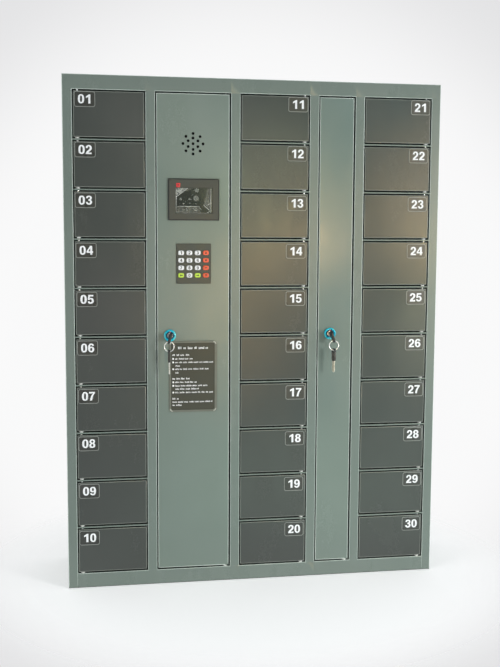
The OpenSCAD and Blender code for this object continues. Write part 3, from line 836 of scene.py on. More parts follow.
def small_door(n):
    c, r = (n - 1) // 10, (n - 1) % 10
    xa, z = cell_x(c), row_z(r)
    xb = xa + CELL_W
    b = Build()
    pan(b, xa + GAP + 0.3, xb - GAP - 0.3, z + LOW, z + CELL_H - TOP, 14.0, CHARCOAL, CHARCOAL_FOLD_HIGHLIGHT)
    # striker tab for the latch
    xs = xb - 7 if c == 0 else xa + 7
    zm = z + CELL_H / 2
    prof = [(YD + 0.9, zm - 8), (-66, zm - 8), (-66, zm + 8), (YD + 0.9, zm + 8)]
    hole = [(-79, zm - 4.5), (-69, zm - 4.5), (-69, zm + 4.5), (-79, zm + 4.5)]
    side_plate(b, xs - 1, xs + 1, prof, [hole], STEEL)
    pivots(b, xa + 10 if c == 0 else xb - 10, z, z + CELL_H)
    label(b, n, xa, xb, z + CELL_H, c == 0)
    name = "door_%02d" % n
    b.done(name + "_leaf", name, "charcoal_paint", [name])


def side_plate(b, xa, xb, outline, holes, mat):
    """a flat shape in y and z, from xa to xb"""
    bm = b.bm
    loops = [ccw(outline, True)] + [ccw(h, False) for h in holes]
    A = [[bm.verts.new((xa, y, z)) for y, z in l] for l in loops]
    B = [[bm.verts.new((xb, y, z)) for y, z in l] for l in loops]
    for L, sgn in ((A, -1), (B, 1)):
        flat = [v for l in L for v in l]
        for i, j, k in tessellate_polygon([[(v.co.y, v.co.z, 0) for v in l] for l in L]):
            f = b.face([flat[i], flat[j], flat[k]], mat)
            if f:
                f.normal_update()
                if f.normal.x * sgn < 0:
                    f.normal_flip()
    for la, lb in zip(A, B):
        n = len(la)
        for i in range(n):
            j = (i + 1) % n
            b.face([la[i], la[j], lb[j], lb[i]], mat)


SPK_HOLES = [(0, 0)] + [(11.2 * math.cos(math.radians(t)), 11.2 * math.sin(math.radians(t))) for t in range(30, 391, 60)] \
    + [(20 * math.cos(math.radians(t)), 20 * math.sin(math.radians(t))) for t in range(0, 360, 45)]


def tall_doors():
    for node, body in (("control_door", "control_door"), ("service_door", "service_door")):
        b = cad_build(node)
        b.mats = []
        idx = {m: b.mi(m) for m in (SAGE, STEEL, BLACK, CYAN, DEEP, PLATE, CHROME, SAGE_FOLD_HIGHLIGHT, NYLON)}
        drop = []
        for isl in islands(b.bm):
            lo, hi = span(isl)
            size = hi - lo
            if size.z > 500:
                m = SAGE
            elif size.z > 140:
                m = PLATE
            elif size.z > 40:
                m = BLACK
                drop += isl
            elif hi.y < -76 and size.x > 23.5 and lo.y < -104:
                m = CYAN
                drop += isl
            else:
                m = STEEL
            for f in isl:
                f.material_index = idx[m]
        bmesh.ops.delete(b.bm, geom=drop, context="FACES")
        x0 = X2 if node == "control_door" else X4
        w = CONTROL_W if node == "control_door" else SERVICE_W
        # the rounded front folds get a paler paint: painted highlight
        fold(b, lambda p, q: near(p.y, YD) and near(q.y, YD) and (p - q).length > 60
             and (near(p.x, q.x) and (near(p.x, x0 + GAP) or near(p.x, x0 + w - GAP))
                  or near(p.z, q.z) and (near(p.z, ZB + LOW) or near(p.z, ZT - TOP))), 1.6, 5, SAGE_FOLD_HIGHLIGHT)
        # the hinge side stands a little further from its upright
        for v in b.bm.verts:
            if v.co.x > x0 + w - GAP - 1.8 and v.co.y < YD + 17:
                v.co.x -= 1.1
            elif v.co.x < x0 + GAP + 1.8 and v.co.y < YD + 17:
                v.co.x += 0.3
        if node == "control_door":
            for v in b.bm.verts:
                if CARD_X + 40 < v.co.x < CARD_X + 52 and abs(v.co.z - CARD_Z) < 76 and v.co.y < YD + 0.1:
                    v.co.x -= 0.5
        # the pins are steel and the washer of the lower one is white
        for f in b.bm.faces:
            c = f.calc_center_median()
            if near(c.x, x0 + w - 10, 4.2) and near(c.y, YP, 4.2) and (c.z < ZB + LOW - 0.05 or c.z > ZT - TOP + 0.05):
                f.material_index = idx[NYLON if ZB + 0.1 < c.z < ZB + LOW else STEEL]
        for f in b.bm.faces:          # painted shade: the walls of the loudspeaker holes get black paint, so the holes look deeper
            c = f.calc_center_median()
            if node == "control_door" and math.hypot(c.x - SPK_X, c.z - SPK_Z) < 27 and c.y < YD + 1.3 and abs(f.normal.y) < 0.5:
                f.material_index = idx[BLACK]
        for v in b.bm.verts if node == "control_door" else ():
            dx, dz = v.co.x - SPK_X, v.co.z - SPK_Z
            if math.hypot(dx, dz) < 27 and v.co.y < YD + 1.3:          # and a little wider
                hx, hz = min(SPK_HOLES, key=lambda h: math.hypot(dx - h[0], dz - h[1]))
                r_ = math.hypot(dx - hx, dz - hz)
                if 2.3 < r_ < 2.7:
                    v.co.x += (dx - hx) / r_ * 0.35
                    v.co.z += (dz - hz) / r_ * 0.35
        lock_body(b, LOCK_X1 if node == "control_door" else LOCK_X2)
        if node == "control_door":
            speaker(b)
        b.done(node + "_leaf", body, "sage_paint", [node])


def speaker(b):
    """loudspeaker behind its holes: dust cap, cone, rolled surround, flange, basket and magnet"""
    b.lathe([(0, 6.2), (2.5, 6.3), (5.0, 6.8), (7.2, 7.7), (7.7, 8.5), (8.3, 8.3), (20.2, 3.7), (20.8, 3.2), (21.5, 2.5), (22.4, 2.2),
             (23.3, 2.5), (24.0, 3.2), (24.5, 0.9), (24.9, 0.2), (26.6, 0.05), (27.0, 0.4), (27.0, 3.0), (24.2, 4.0), (22.0, 12.0),
             (14.4, 14.0), (14.0, 14.5), (14.0, 19.6), (13.6, 20.0), (0, 20.0)], (SPK_X, YD + 1.1, SPK_Z), (0, 1, 0),
            [CONE] * 12 + [BLACK] * 7 + [STEEL] * 5, 56)


def lock_body(b, x):
    """barrel with its dished, anodised face ring"""
    a = (x, YD, LOCK_Z)
    prof = [(6.05, -19.5), (9.4, -19.5), (9.4, 0.05), (12.0, 0.05), (12.0, 3.2), (11.85, 3.8), (11.5, 4.5), (11.0, 5.0),
            (10.4, 5.2), (9.9, 5.1), (9.4, 4.6), (8.9, 3.9), (8.0, 2.9), (6.9, 1.6), (6.05, 1.4), (6.05, -19.5)]
    mats = [CHROME, CHROME, CHROME, CYAN, CYAN, CYAN, CYAN, CYAN, CYAN, CYAN, CYAN, CYAN, DEEP, DEEP, CHROME]
    b.lathe(prof, a, (0, -1, 0), mats, 64)
    # enamel mark on the dish, at the top
    s = Build()
    s.lathe([(0, 0.45), (0.6, 0.4), (1.05, 0.2), (1.2, -0.2)], (0, 0, 0), (0, -1, 0), DOT, 20)
    b.add(s, Matrix.Translation((x, YD - 2.9, LOCK_Z + 7.7)))


# ------------------------------------------------------------------ display
def display():
    b = cad_build("display_unit")
    idx = {m: b.mi(m) for m in (BEZEL, SCREEN)}
    for isl in islands(b.bm):
        lo, hi = span(isl)
        m = SCREEN if hi.x - lo.x < 85 else BEZEL
        for f in isl:
            f.material_index = idx[m]
    fold(b, lambda p, q: p.y < -104.3 and q.y < -104.3 and (p - q).length > 60, 0.5, 3)
    b.bm.normal_update()
    for f in b.bm.faces:              # painted shade on the outer slopes: those facing left or up a bit darker than the bezel, those facing right or down darker still
        c = f.calc_center_median()
        rim = max(abs(c.x - DISP_X) - 49.0, abs(c.z - DISP_Z + 0.4) - 39.2)
        if rim > -0.3 and f.normal.y < -0.1 and (abs(f.normal.x) > 0.25 or abs(f.normal.z) > 0.25):
            f.material_index = b.mi(BEZEL_EDGE if f.normal.x < -0.2 or f.normal.z > 0.2 else BEZEL_SLOPE_SHADE)
    b.done("display_bezel", "control_door", "bezel_plastic", ["display_unit"])

    # protective film over the window, still on the glass: creases, bubbles and milky veils
    xw0, xw1, zw0, zw1 = DISP_X - 36.4, DISP_X + 37.4, DISP_Z - 27.8, DISP_Z + 22.6
    yg = YD - 2.95
    b = Build()
    rnd = random.Random(5)

    def at(u, v):
        """u to the right and v down, in mm from the window's upper left corner"""
        return xw0 + u, zw1 - v

    def lift(u, v):
        d = 0.10 + 0.05 * math.sin(u * 0.55 + v * 0.3) + 0.04 * math.sin(v * 0.8 - u * 0.2)
        d += 0.30 * math.exp(-((u / 24.0 + v / 18.5 - 1.0) / 0.07) ** 2)
        d += 0.22 * math.exp(-((v - 36.6 - 0.5 * math.sin(u * 0.3)) / 0.9) ** 2)
        d += 0.25 * math.exp(-((u - 70.5) / 1.2) ** 2)
        return d

    def sheet(cells, mat, gap):
        """a patch of film that follows its creases"""
        for (u0, v0), (u1, v1), (u2, v2), (u3, v3), n, m_ in cells:
            g = []
            for j in range(m_ + 1):
                t = j / m_
                row = []
                for i in range(n + 1):
                    q = i / n
                    u = (u0 * (1 - q) + u1 * q) * (1 - t) + (u3 * (1 - q) + u2 * q) * t
                    v = (v0 * (1 - q) + v1 * q) * (1 - t) + (v3 * (1 - q) + v2 * q) * t
                    x, z = at(u, v)
                    row.append(b.bm.verts.new((x, yg - gap - lift(u, v), z)))
                g.append(row)
            for j in range(m_):
                for i in range(n):
                    b.face([g[j][i], g[j + 1][i], g[j + 1][i + 1], g[j][i + 1]], mat)

    W, H = xw1 - xw0, zw1 - zw0
    sheet([((0.3, 0.3), (W - 0.3, 0.3), (W - 0.3, H - 0.3), (0.3, H - 0.3), 36, 26)], FILM, 0.0)
    # lifted corner, upper left: mottled and silvery
    sheet([((0.4, 0.4), (24.5, 0.4), (12.5, 9.2), (0.4, 17.8), 14, 10)], MOTTLE, 0.10)
    sheet([((15.0, 0.4), (36.0, 0.4), (27.0, 5.0), (17.0, 6.6), 8, 4)], VEIL, 0.12)
    # streaked band under the long crease, and the veil at the right
    sheet([((2.5, 37.4), (49.0, 36.4), (50.0, 48.5), (2.0, 49.4), 24, 8)], STREAK, 0.10)
    sheet([((64.0, 0.6), (W - 0.5, 0.6), (W - 0.5, 49.8), (55.5, 36.5), 7, 20)], VEIL, 0.10)
    sheet([((0.4, 18.5), (3.0, 16.5), (2.4, 49.4), (0.4, 49.6), 2, 14)], VEIL, 0.10)

    def crease(pts, r, mat=None):
        path = [(at(u, v)[0], yg - 0.22 - lift(u, v), at(u, v)[1]) for u, v in pts]
        b.tube(path, lambda t: r * (0.35 + 0.65 * math.sin(math.pi * min(1, max(0, t))) ** 0.5), mat or CREASE, 8)

    def wander(p, q, n, amp):
        return [(p[0] + (q[0] - p[0]) * i / n + amp * rnd.uniform(-1, 1), p[1] + (q[1] - p[1]) * i / n + amp * rnd.uniform(-1, 1))
                for i in range(n + 1)]

    crease(wander((1.6, 17.6), (24.6, 0.8), 9, 0.25), 0.55)
    crease(wander((0.9, 0.8), (0.9, 49.6), 12, 0.08), 0.42)
    crease(wander((2.5, 36.9), (49.0, 36.2), 16, 0.22), 0.42)
    crease(wander((70.6, 1.0), (70.2, 49.0), 14, 0.15), 0.42)
    crease(wander((55.4, 33.3), (69.4, 45.2), 7, 0.2), 0.36)
    crease(wander((73.0, 29.6), (61.0, 34.5), 6, 0.2), 0.34)
    crease(wander((72.8, 44.0), (62.0, 49.6), 5, 0.2), 0.30)
    for u, v, du, dv in ((4, 46.5, 12, 0.8), (21, 38.6, 2.5, 7.5), (33, 40.0, 10, 5.5), (36, 45.8, 9, -3.2), (12, 41.5, 8, 1.4), (46, 38.0, 8, 6.5)):
        crease(wander((u, v), (u + du, v + dv), 4, 0.25), 0.17)
    crease(wander((2.0, 49.7), (72.5, 49.7), 14, 0.12), 0.26)
    for k in range(5):
        u = 2.0 + 3.4 * k
        crease(wander((u, 2.0 + rnd.uniform(0, 2)), (u + rnd.uniform(-1, 3), 12.0 - 1.9 * k + rnd.uniform(0, 2)), 4, 0.3), 0.24)
    for u, v, r in ((40.8, 20.6, 5.6), (42.4, 4.5, 4.2), (10.5, 22.2, 2.7), (27.8, 22.0, 2.3), (28.4, 30.4, 1.6), (15.9, 31.4, 1.9),
                    (40.4, 31.4, 1.1), (20.0, 27.5, 0.9), (34.0, 14.0, 0.9)):
        x, z = at(u, v)
        b.lathe([(r, 0.10), (r * 0.95, 0.34), (r * 0.82, 0.46), (r * 0.70, 0.44), (r * 0.45, 0.40), (0, 0.42)],
                (x, yg - 0.15, z), (0, -1, 0), [RINGLET, RINGLET, RINGLET, BLOB, BLOB], 28)
    b.done("display_film", "control_door", "bezel_plastic", fix_normals=False)

    # pull tab stuck on the bezel's upper left corner, its end standing off
    b = Build()
    xt = xw0 + 1.3
    rows = [(-104.56, zw1 + 0.8), (-104.56, zw1 + 3.2), (-104.60, zw1 + 6.0), (-104.72, zw1 + 8.0), (-104.95, zw1 + 9.2)]
    pts = []
    for y, z in rows:
        pts.append([b.bm.verts.new((x, y - 0.10 * math.sin(k * 1.3), z)) for k, x in enumerate((xt, xt + 2.6, xt + 5.2, xt + 7.7))])
    bk = [[b.bm.verts.new((v.co.x, v.co.y + 0.12, v.co.z)) for v in r] for r in pts]
    for g, flip in ((pts, False), (bk, True)):
        for a, c in zip(g, g[1:]):
            for i in range(3):
                q = [a[i], a[i + 1], c[i + 1], c[i]]
                b.face(q[::-1] if flip else q, TAB)
    ring_f = pts[0] + [r[-1] for r in pts[1:]] + pts[-1][-2::-1] + [r[0] for r in pts[-2:0:-1]]
    ring_b = bk[0] + [r[-1] for r in bk[1:]] + bk[-1][-2::-1] + [r[0] for r in bk[-2:0:-1]]
    for i in range(len(ring_f)):
        j = (i + 1) % len(ring_f)
        b.face([ring_f[i], ring_b[i], ring_b[j], ring_f[j]], TAB)
    b.prism([circle(xt + 3.9, zw1 + 5.2, 1.5, 20)], -104.86, -104.60, TAB_DOT, chamfer=0.05)
    b.done("display_pull_tab", "control_door", "bezel_plastic")


# ------------------------------------------------------------------ keypad
KX, KZ = X2 + 75.8, ZT - 337.6


def key_pos(i, j):
    return KX - 0.5 + (i - 1.5) * 16.6, KZ - 0.8 + (1.5 - j) * 15.0


KEYS = {"key_1": (0, 0), "key_2": (1, 0), "key_3": (2, 0), "key_red_1": (3, 0),
        "key_4": (0, 1), "key_5": (1, 1), "key_6": (2, 1), "key_red_2": (3, 1),
        "key_7": (0, 2), "key_8": (1, 2), "key_9": (2, 2), "key_red_3": (3, 2),
        "key_yellow_left": (0, 3), "key_0": (1, 3), "key_yellow_right": (2, 3), "key_red_4": (3, 3)}


def key_cap(name, i, j):
    """moulded cap with a domed, slightly dished top and its legend"""
    cx, cz = key_pos(i, j)
    mat = RED if "red" in name else YELLOW if "yellow" in name else WHITE
    b = Build()
    rings = []
    prof = [(4.4, 13.0, 10.3), (1.4, 13.0, 10.3), (1.4, 11.6, 8.8), (-3.0, 11.6, 8.8), (-3.5, 11.35, 8.55),
            (-3.82, 10.7, 7.9), (-3.97, 9.6, 6.8), (-4.0, 8.2, 5.4), (-3.9, 6.0, 3.6)]
    for d, ww, hh in prof:
        rr = min(3.0, ww / 2 - 0.05, hh / 2 - 0.05)
        rings.append([b.bm.verts.new((x, YD + d, z)) for x, z in rrect(cx, cz, ww, hh, rr, 5)])
    n = len(rings[0])
    for a, c in zip(rings, rings[1:]):
        for k in range(n):
            l = (k + 1) % n
            b.face([a[k], a[l], c[l], c[k]], mat)
    b.face(rings[0][::-1], mat)
    mid = b.bm.verts.new((cx, YD - 3.86, cz))
    for k in range(n):
        b.face([rings[-1][k], rings[-1][(k + 1) % n], mid], mat)
    yf, yb_ = YD - 4.0, YD - 3.7
    ch = name.split("_")[1]
    if ch.isdigit() and "red" not in name:
        write_digits(b, ch, cx, cz, 6.3, yf, yb_, INK, widen=1.05, steps=4)
    elif name == "key_red_1":        # arrow up
        b.prism([[(cx - 2.6, cz - 1.6), (cx + 2.6, cz - 1.6), (cx, cz + 2.2)]], yf, yb_, INK)
    elif name == "key_red_2":        # arrow down
        b.prism([[(cx - 2.6, cz + 1.6), (cx, cz - 2.2), (cx + 2.6, cz + 1.6)]], yf, yb_, INK)
    elif name == "key_red_3":        # bar
        b.prism([rrect(cx, cz, 5.6, 1.5, 0.5, 3)], yf, yb_, INK)
    elif name == "key_red_4":        # square
        b.prism([rrect(cx, cz, 4.2, 3.6, 0.5, 3), rrect(cx, cz, 2.2, 1.6, 0.3, 3)[::-1]], yf, yb_, INK)
    elif name == "key_yellow_left":  # arrow left
        b.prism([[(cx - 3.0, cz), (cx - 0.4, cz - 2.2), (cx - 0.4, cz - 0.7), (cx + 3.0, cz - 0.7), (cx + 3.0, cz + 0.7),
                  (cx - 0.4, cz + 0.7), (cx - 0.4, cz + 2.2)]], yf, yb_, INK)
    else:                            # arrow right
        b.prism([[(cx + 3.0, cz), (cx + 0.4, cz + 2.2), (cx + 0.4, cz + 0.7), (cx - 3.0, cz + 0.7), (cx - 3.0, cz - 0.7),
                  (cx + 0.4, cz - 0.7), (cx + 0.4, cz - 2.2)]], yf, yb_, INK)
    slot = "key_red" if "red" in name else "key_yellow" if "yellow" in name else "key_white"
    b.done(name + "_cap", name, slot, [name], sharp=50)


def keypad():
    b = cad_build("keypad_panel")
    b.mi(KEYMETAL)
    fold(b, lambda p, q: near(p.y, YD - 1.6) and near(q.y, YD - 1.6) and (p - q).length > 40, 0.4, 2)
    # pressed line round the plate
    b.prism([rrect(KX, KZ, 69.0, 79.4, 2.4, 5), rrect(KX, KZ, 67.2, 77.6, 1.6, 5)[::-1]], YD - 1.75, YD - 1.55, BEZEL_EDGE, chamfer=0.12)
    b.done("keypad_face", "control_door", "keypad_metal", ["keypad_panel"])
    for name, (i, j) in KEYS.items():
        key_cap(name, i, j)


# ------------------------------------------------------------------ instruction plate print
def instruction_print():
    """rows of short strokes that stand for the plate's lines, and its raised border"""
    b = Build()
    cx, cz = CARD_X - 0.25, CARD_Z
    y0 = YD - 1.25
    # border: a raised frame in pale paint, a painted highlight of its rounded edge, with a dark line inside it
    b.prism([rrect(cx, cz, 97.1, 144.6, 6.8, 8), rrect(cx - 0.4, cz, 88.6, 137.0, 4.0, 8)[::-1]], y0 - 0.30, y0 + 0.02, PLATE_RIM_HIGHLIGHT, chamfer=0.15)
    b.prism([rrect(cx - 0.4, cz, 88.4, 136.8, 3.9, 8), rrect(cx - 0.4, cz, 86.2, 134.6, 3.0, 8)[::-1]], y0 - 0.05, y0 + 0.02, PLATE_LINE)
    for sx, sz, a0 in ((1, 1, 0), (-1, 1, 90), (-1, -1, 180), (1, -1, 270)):      # painted highlight: bright arcs in the corners
        arc = [(cx + sx * 41.6 + r_ * math.cos(math.radians(t)), cz + sz * 66.1 + r_ * math.sin(math.radians(t)))
               for r_, ts in ((5.6, range(a0, a0 + 91, 10)), (3.9, range(a0 + 90, a0 - 1, -10))) for t in ts]
        b.prism([arc], y0 - 0.34, y0 + 0.02, PLATE_CORNER_HIGHLIGHT)
    rnd = random.Random(11)
    top = cz + 72.5

    def word(xa, xb, z, h):
        """a word of upright strokes of uneven height, joined by short low and high bars"""
        x, k = xa, 0
        step = h * 0.52
        while x < xb - 0.3:
            hh = h * rnd.choice((1.0, 0.72, 0.72, 0.72, 1.0, 0.72))
            w = h * rnd.uniform(0.24, 0.33)
            b.prism([[(x, z - h / 2), (x + w, z - h / 2), (x + w, z - h / 2 + hh), (x, z - h / 2 + hh)]], y0 - 0.12, y0 + 0.02, DIGIT)
            if rnd.random() < 0.72 and x + step < xb:
                zc = z - h / 2 + rnd.choice((0.0, 0.30, 0.56)) * h
                b.prism([[(x + w, zc), (x + step, zc), (x + step, zc + h * 0.22), (x + w, zc + h * 0.22)]], y0 - 0.12, y0 + 0.02, DIGIT)
            x += step * rnd.uniform(0.9, 1.12)

    def line(xa, xb, z, h):
        x = xa
        while x < xb - 2.0:
            e = min(x + rnd.uniform(4.5, 10.5), xb)
            if xb - e < 3.0:
                e = xb
            word(x, e, z, h)
            x = e + h * 0.8

    left = cx - 42.5
    line(left + 12.0, left + 73.0, top - 13.9, 4.8)          # title
    rows = [(0, 28.1, 35.0, 3.7), (1, 36.0, 36.0, 3.1), (1, 43.2, 77.0, 3.1), (2, 50.2, 12.0, 3.1), (1, 57.0, 71.0, 3.1), (2, 64.4, 10.0, 3.1),
            (0, 76.4, 34.0, 3.7), (1, 83.8, 43.0, 3.1), (1, 91.0, 66.0, 3.1), (2, 97.6, 48.0, 3.1), (1, 104.8, 77.0, 3.1),
            (0, 117.6, 12.0, 3.7), (3, 124.2, 81.0, 3.1), (3, 130.6, 19.0, 3.1)]
    for kind, dz, length, h in rows:
        z = top - dz
        if kind == 1:
            b.prism([circle(left + 2.0, z, 2.0, 18)], y0 - 0.16, y0 + 0.02, DIGIT)
            line(left + 6.2, left + 6.2 + length, z, h)
        elif kind == 2:
            line(left + 6.5, left + 6.5 + length, z, h)
        else:
            line(left + 0.5, left + 0.5 + length, z, h)
    b.done("instruction_print", "control_door", "bezel_plastic")


# ------------------------------------------------------------------ locks, keys and rings
def lock_plug(node, x, lean, drop):
    """plug, cam, nut and the key in it, made upright at x = z = 0 and then turned by lean"""
    b = Build()
    a = (0, YD, 0)
    b.lathe([(0, -20.2), (5.8, -20.2), (6.0, -20.0), (6.0, 1.9), (5.7, 2.2), (0, 2.2)], a, (0, -1, 0), CHROME, 48)
    b.lathe([(0, -25.0), (4.6, -25.0), (5.0, -24.6), (5.0, -20.2), (0, -20.2)], a, (0, -1, 0), STEEL, 6)
    # cam
    pts = [(8 * math.cos(math.radians(t)), 8 * math.sin(math.radians(t))) for t in range(0, 181, 15)]
    pts += [(8 * math.cos(math.radians(t)), -34 + 8 * math.sin(math.radians(t))) for t in range(180, 361, 15)]
    b.prism([pts], YD + 20, YD + 22, STEEL, chamfer=0.3)
    # shank and head of the key
    b.box(-1.1, 1.1, YD - 9, YD - 1, -3.5, 3.5, BLADE, 0.25)
    d = drop
    head = [(-6.2, 0.8), (-7.4, 3.4), (-10.2, 4.9), (-14.2, 6.1), (-19.0, 7.7), (-22.8, 6.5), (-25.1, 3.2), (-25.7, -0.6), (-26.7, -4.0 - d / 2),
            (-27.9, -7.6 - d), (-27.4, -11.0 - d), (-25.3, -12.9 - d), (-22.5, -13.5 - d), (-19.6, -12.5 - d), (-17.2, -10.3 - d),
            (-12.8, -7.0 - d / 2), (-8.6, -4.2), (-6.7, -2.3)]
    grip(b, 0, [(YD + y, z) for y, z in head], (YD - 23.5, -9 - d), 2.6, 4.4, RUBBER, 1.5)
    out = Build()
    out.add(b, Matrix.Translation((x, 0, LOCK_Z)) @ Matrix.Rotation(math.radians(lean), 4, "Y"))
    b.bm.free()
    out.done(node + "_key", node, "lock_chrome", [node], sharp=50)


def smooth_loop(pts, sub=4):
    """closed Catmull-Rom curve through the points"""
    n, out = len(pts), []
    for i in range(n):
        p0, p1, p2, p3 = [Vector(pts[(i + k) % n]) for k in (-1, 0, 1, 2)]
        for s in range(sub):
            t = s / sub
            out.append(tuple(0.5 * ((2 * p1) + (p2 - p0) * t + (2 * p0 - 5 * p1 + 4 * p2 - p3) * t * t
                                    + (3 * p1 - p0 - 3 * p2 + p3) * t ** 3)))
    return out


def grip(b, x, outline, hole, hr, t, mat, border=2.1):
    """key head in the plane of y and z: rounded edge, raised border and a hole for the ring"""
    bm = b.bm
    out = ccw(smooth_loop(outline, 3), True)
    levels = [(0.0, t / 2 - 0.75), (-0.22, t / 2 - 0.35), (-0.6, t / 2 - 0.08), (-border * 0.5, t / 2), (-border * 0.8, t / 2), (-border, t / 2 - 0.35)]
    hl = ccw(circle(hole[0], hole[1], hr, 24), False)
    for sgn in (-1, 1):
        loops = []
        for ins, d in levels:
            loops.append([bm.verts.new((x + sgn * d, y, z)) for y, z in (offset(out, ins) if ins else out)])
        for a, c in zip(loops, loops[1:]):
            for k in range(len(a)):
                l = (k + 1) % len(a)
                b.face([a[k], a[l], c[l], c[k]], mat)
        hv = [bm.verts.new((x + sgn * levels[-1][1], y, z)) for y, z in hl]
        inner = loops[-1]
        flat = inner + hv
        for i, j, k in tessellate_polygon([[(v.co.y, v.co.z, 0) for v in inner], [(v.co.y, v.co.z, 0) for v in hv]]):
            b.face([flat[i], flat[j], flat[k]], mat)
        if sgn < 0:
            edge0, hole0 = loops[0], hv
        else:
            for A, B in ((edge0, loops[0]), (hole0, hv)):
                for k in range(len(A)):
                    l = (k + 1) % len(A)
                    b.face([A[k], A[l], B[l], B[k]], mat)


def key_ring(node, x, lean, drop, turn, blade_mat, ropy):
    """split ring of flat wire, two turns side by side, with the spare key on it"""
    b = Build()
    l = math.radians(lean)
    ox, oz = x - (9 + drop) * math.sin(l), LOCK_Z - (9 + drop) * math.cos(l) - 0.2
    yc = YD - 23.5
    n, seg, R = 44, 12, 9.7
    rings = []
    for k in range(2 * n - 1):
        a = 2 * math.pi * k / n + 0.47
        side = -0.52 + 1.04 * min(1.0, max(0.0, (k - n * 0.95) / (n * 0.1)))
        e = Vector((math.cos(a), 0, math.sin(a)))
        c = Vector((ox, yc + side, oz - 10.0)) + e * R
        rings.append([b.bm.verts.new(c + e * (0.80 * math.cos(2 * math.pi * q / seg)) + Vector((0, 0.50 * math.sin(2 * math.pi * q / seg), 0)))
                      for q in range(seg)])
    for A, B in zip(rings, rings[1:]):
        for q in range(seg):
            j = (q + 1) % seg
            b.face([A[q], B[q], B[j], A[j]], RINGST)
    b.face(rings[0], RINGST)
    b.face(rings[-1][::-1], RINGST)
    # spare key: grip and milled blade, from the middle of its hole
    k = Build()
    head = [(0, 5.45), (-3.3, 4.5), (-5.1, 2.0), (-5.3, -1.4), (-4.9, -7.5), (-5.1, -13.4), (-4.8, -17.0), (-3.2, -19.9), (0, -20.9),
            (3.2, -19.9), (4.8, -17.0), (5.1, -13.4), (4.9, -7.5), (5.3, -1.4), (5.1, 2.0), (3.3, 4.5)]
    grip(k, 0, head, (0, 0), 3.4, 4.4, RUBBER, 1.3)
    # slanting ridges: right round the grip in pale paint, a painted highlight of its twist, or only on its sides
    if ropy:
        for q in range(6):
            zc = -2.6 - q * 2.75
            k.tube([(2.46 * math.sin(t), -5.25 * math.cos(t), zc + 1.7 * math.sin(t)) for t in [math.pi * u / 12 - math.pi for u in range(25)]],
                   0.42, RIDGE_HIGHLIGHT, 8)
    else:
        for s in (-1, 1):
            for q in range(4):
                zc = -5.6 - q * 3.2
                k.tube([(s * 1.86, -4.2, zc - 1.5), (s * 1.95, -1.4, zc - 0.5), (s * 1.95, 1.4, zc + 0.5), (s * 1.86, 4.2, zc + 1.5)], 0.24, RUBBER, 8)
    cuts = [(-3.5, -20.2), (-3.5, -22.4), (-2.4, -23.6), (-3.2, -25.0), (-3.2, -26.3), (-1.9, -27.6), (-2.7, -29.0), (-2.7, -30.2),
            (-3.4, -31.4), (-2.2, -32.8), (-2.9, -34.2), (-2.9, -35.6), (-2.1, -36.8), (-3.0, -38.2), (-3.1, -41.0), (-0.4, -44.1),
            (0.4, -44.1), (3.4, -41.6), (3.5, -20.2)]
    side_plate(k, -1.0, 1.0, cuts, [], blade_mat)
    # milled groove line along the blade
    for s in (-1, 1):
        k.tube([(s * 0.8, 0.6, -21.0), (s * 0.8, 0.6, -40.5)], 0.2, blade_mat, 6)
    b.add(k, Matrix.Translation((ox, yc, oz - 21.4)) @ Matrix.Rotation(math.radians(turn), 4, "Z"))
    k.bm.free()
    b.done(node + "_set", node, "ring_steel", [node], sharp=50)


# ------------------------------------------------------------------ inside and back
def inside():
    b = cad_build("door_latches")
    b.mats = []
    i0, i1 = b.mi(LATCH), b.mi(BLACK)
    for isl in islands(b.bm):
        lo, hi = span(isl)
        for f in isl:
            f.material_index = i0
    b.done("latch_housings", "cabinet", "latch_steel", ["door_latches"])

    b = cad_build("lock_controller")
    b.mats = []
    idx = {m: b.mi(m) for m in (STEEL, PCB, BLACK, CASTING)}
    for isl in islands(b.bm):
        lo, hi = span(isl)
        s = hi - lo
        if lo.z < 120:
            m = BLACK
        elif hi.z < 545:
            m = CASTING
        elif s.x > 115:
            m = STEEL
        elif s.x > 105:
            m = PCB
        elif s.x < 7:
            m = STEEL
        else:
            m = BLACK
        for f in isl:
            f.material_index = idx[m]
    b.done("controller_set", "cabinet", "controller_plastic", ["lock_controller"])

    b = cad_build("back_panel")
    b.mi(SAGE)
    b.done("back_sheet", "cabinet", "sage_paint", ["back_panel"])


cabinet()
for n in range(1, 31):
    small_door(n)
tall_doors()
display()
keypad()
instruction_print()
lock_plug("control_lock_plug", LOCK_X1, LEAN1, DROP1)
lock_plug("service_lock_plug", LOCK_X2, LEAN2, DROP2)
key_ring("control_key_ring", LOCK_X1, LEAN1, DROP1, 0, BLADE, False)
key_ring("service_key_ring", LOCK_X2, LEAN2, DROP2, 24, BRASS, True)
inside()

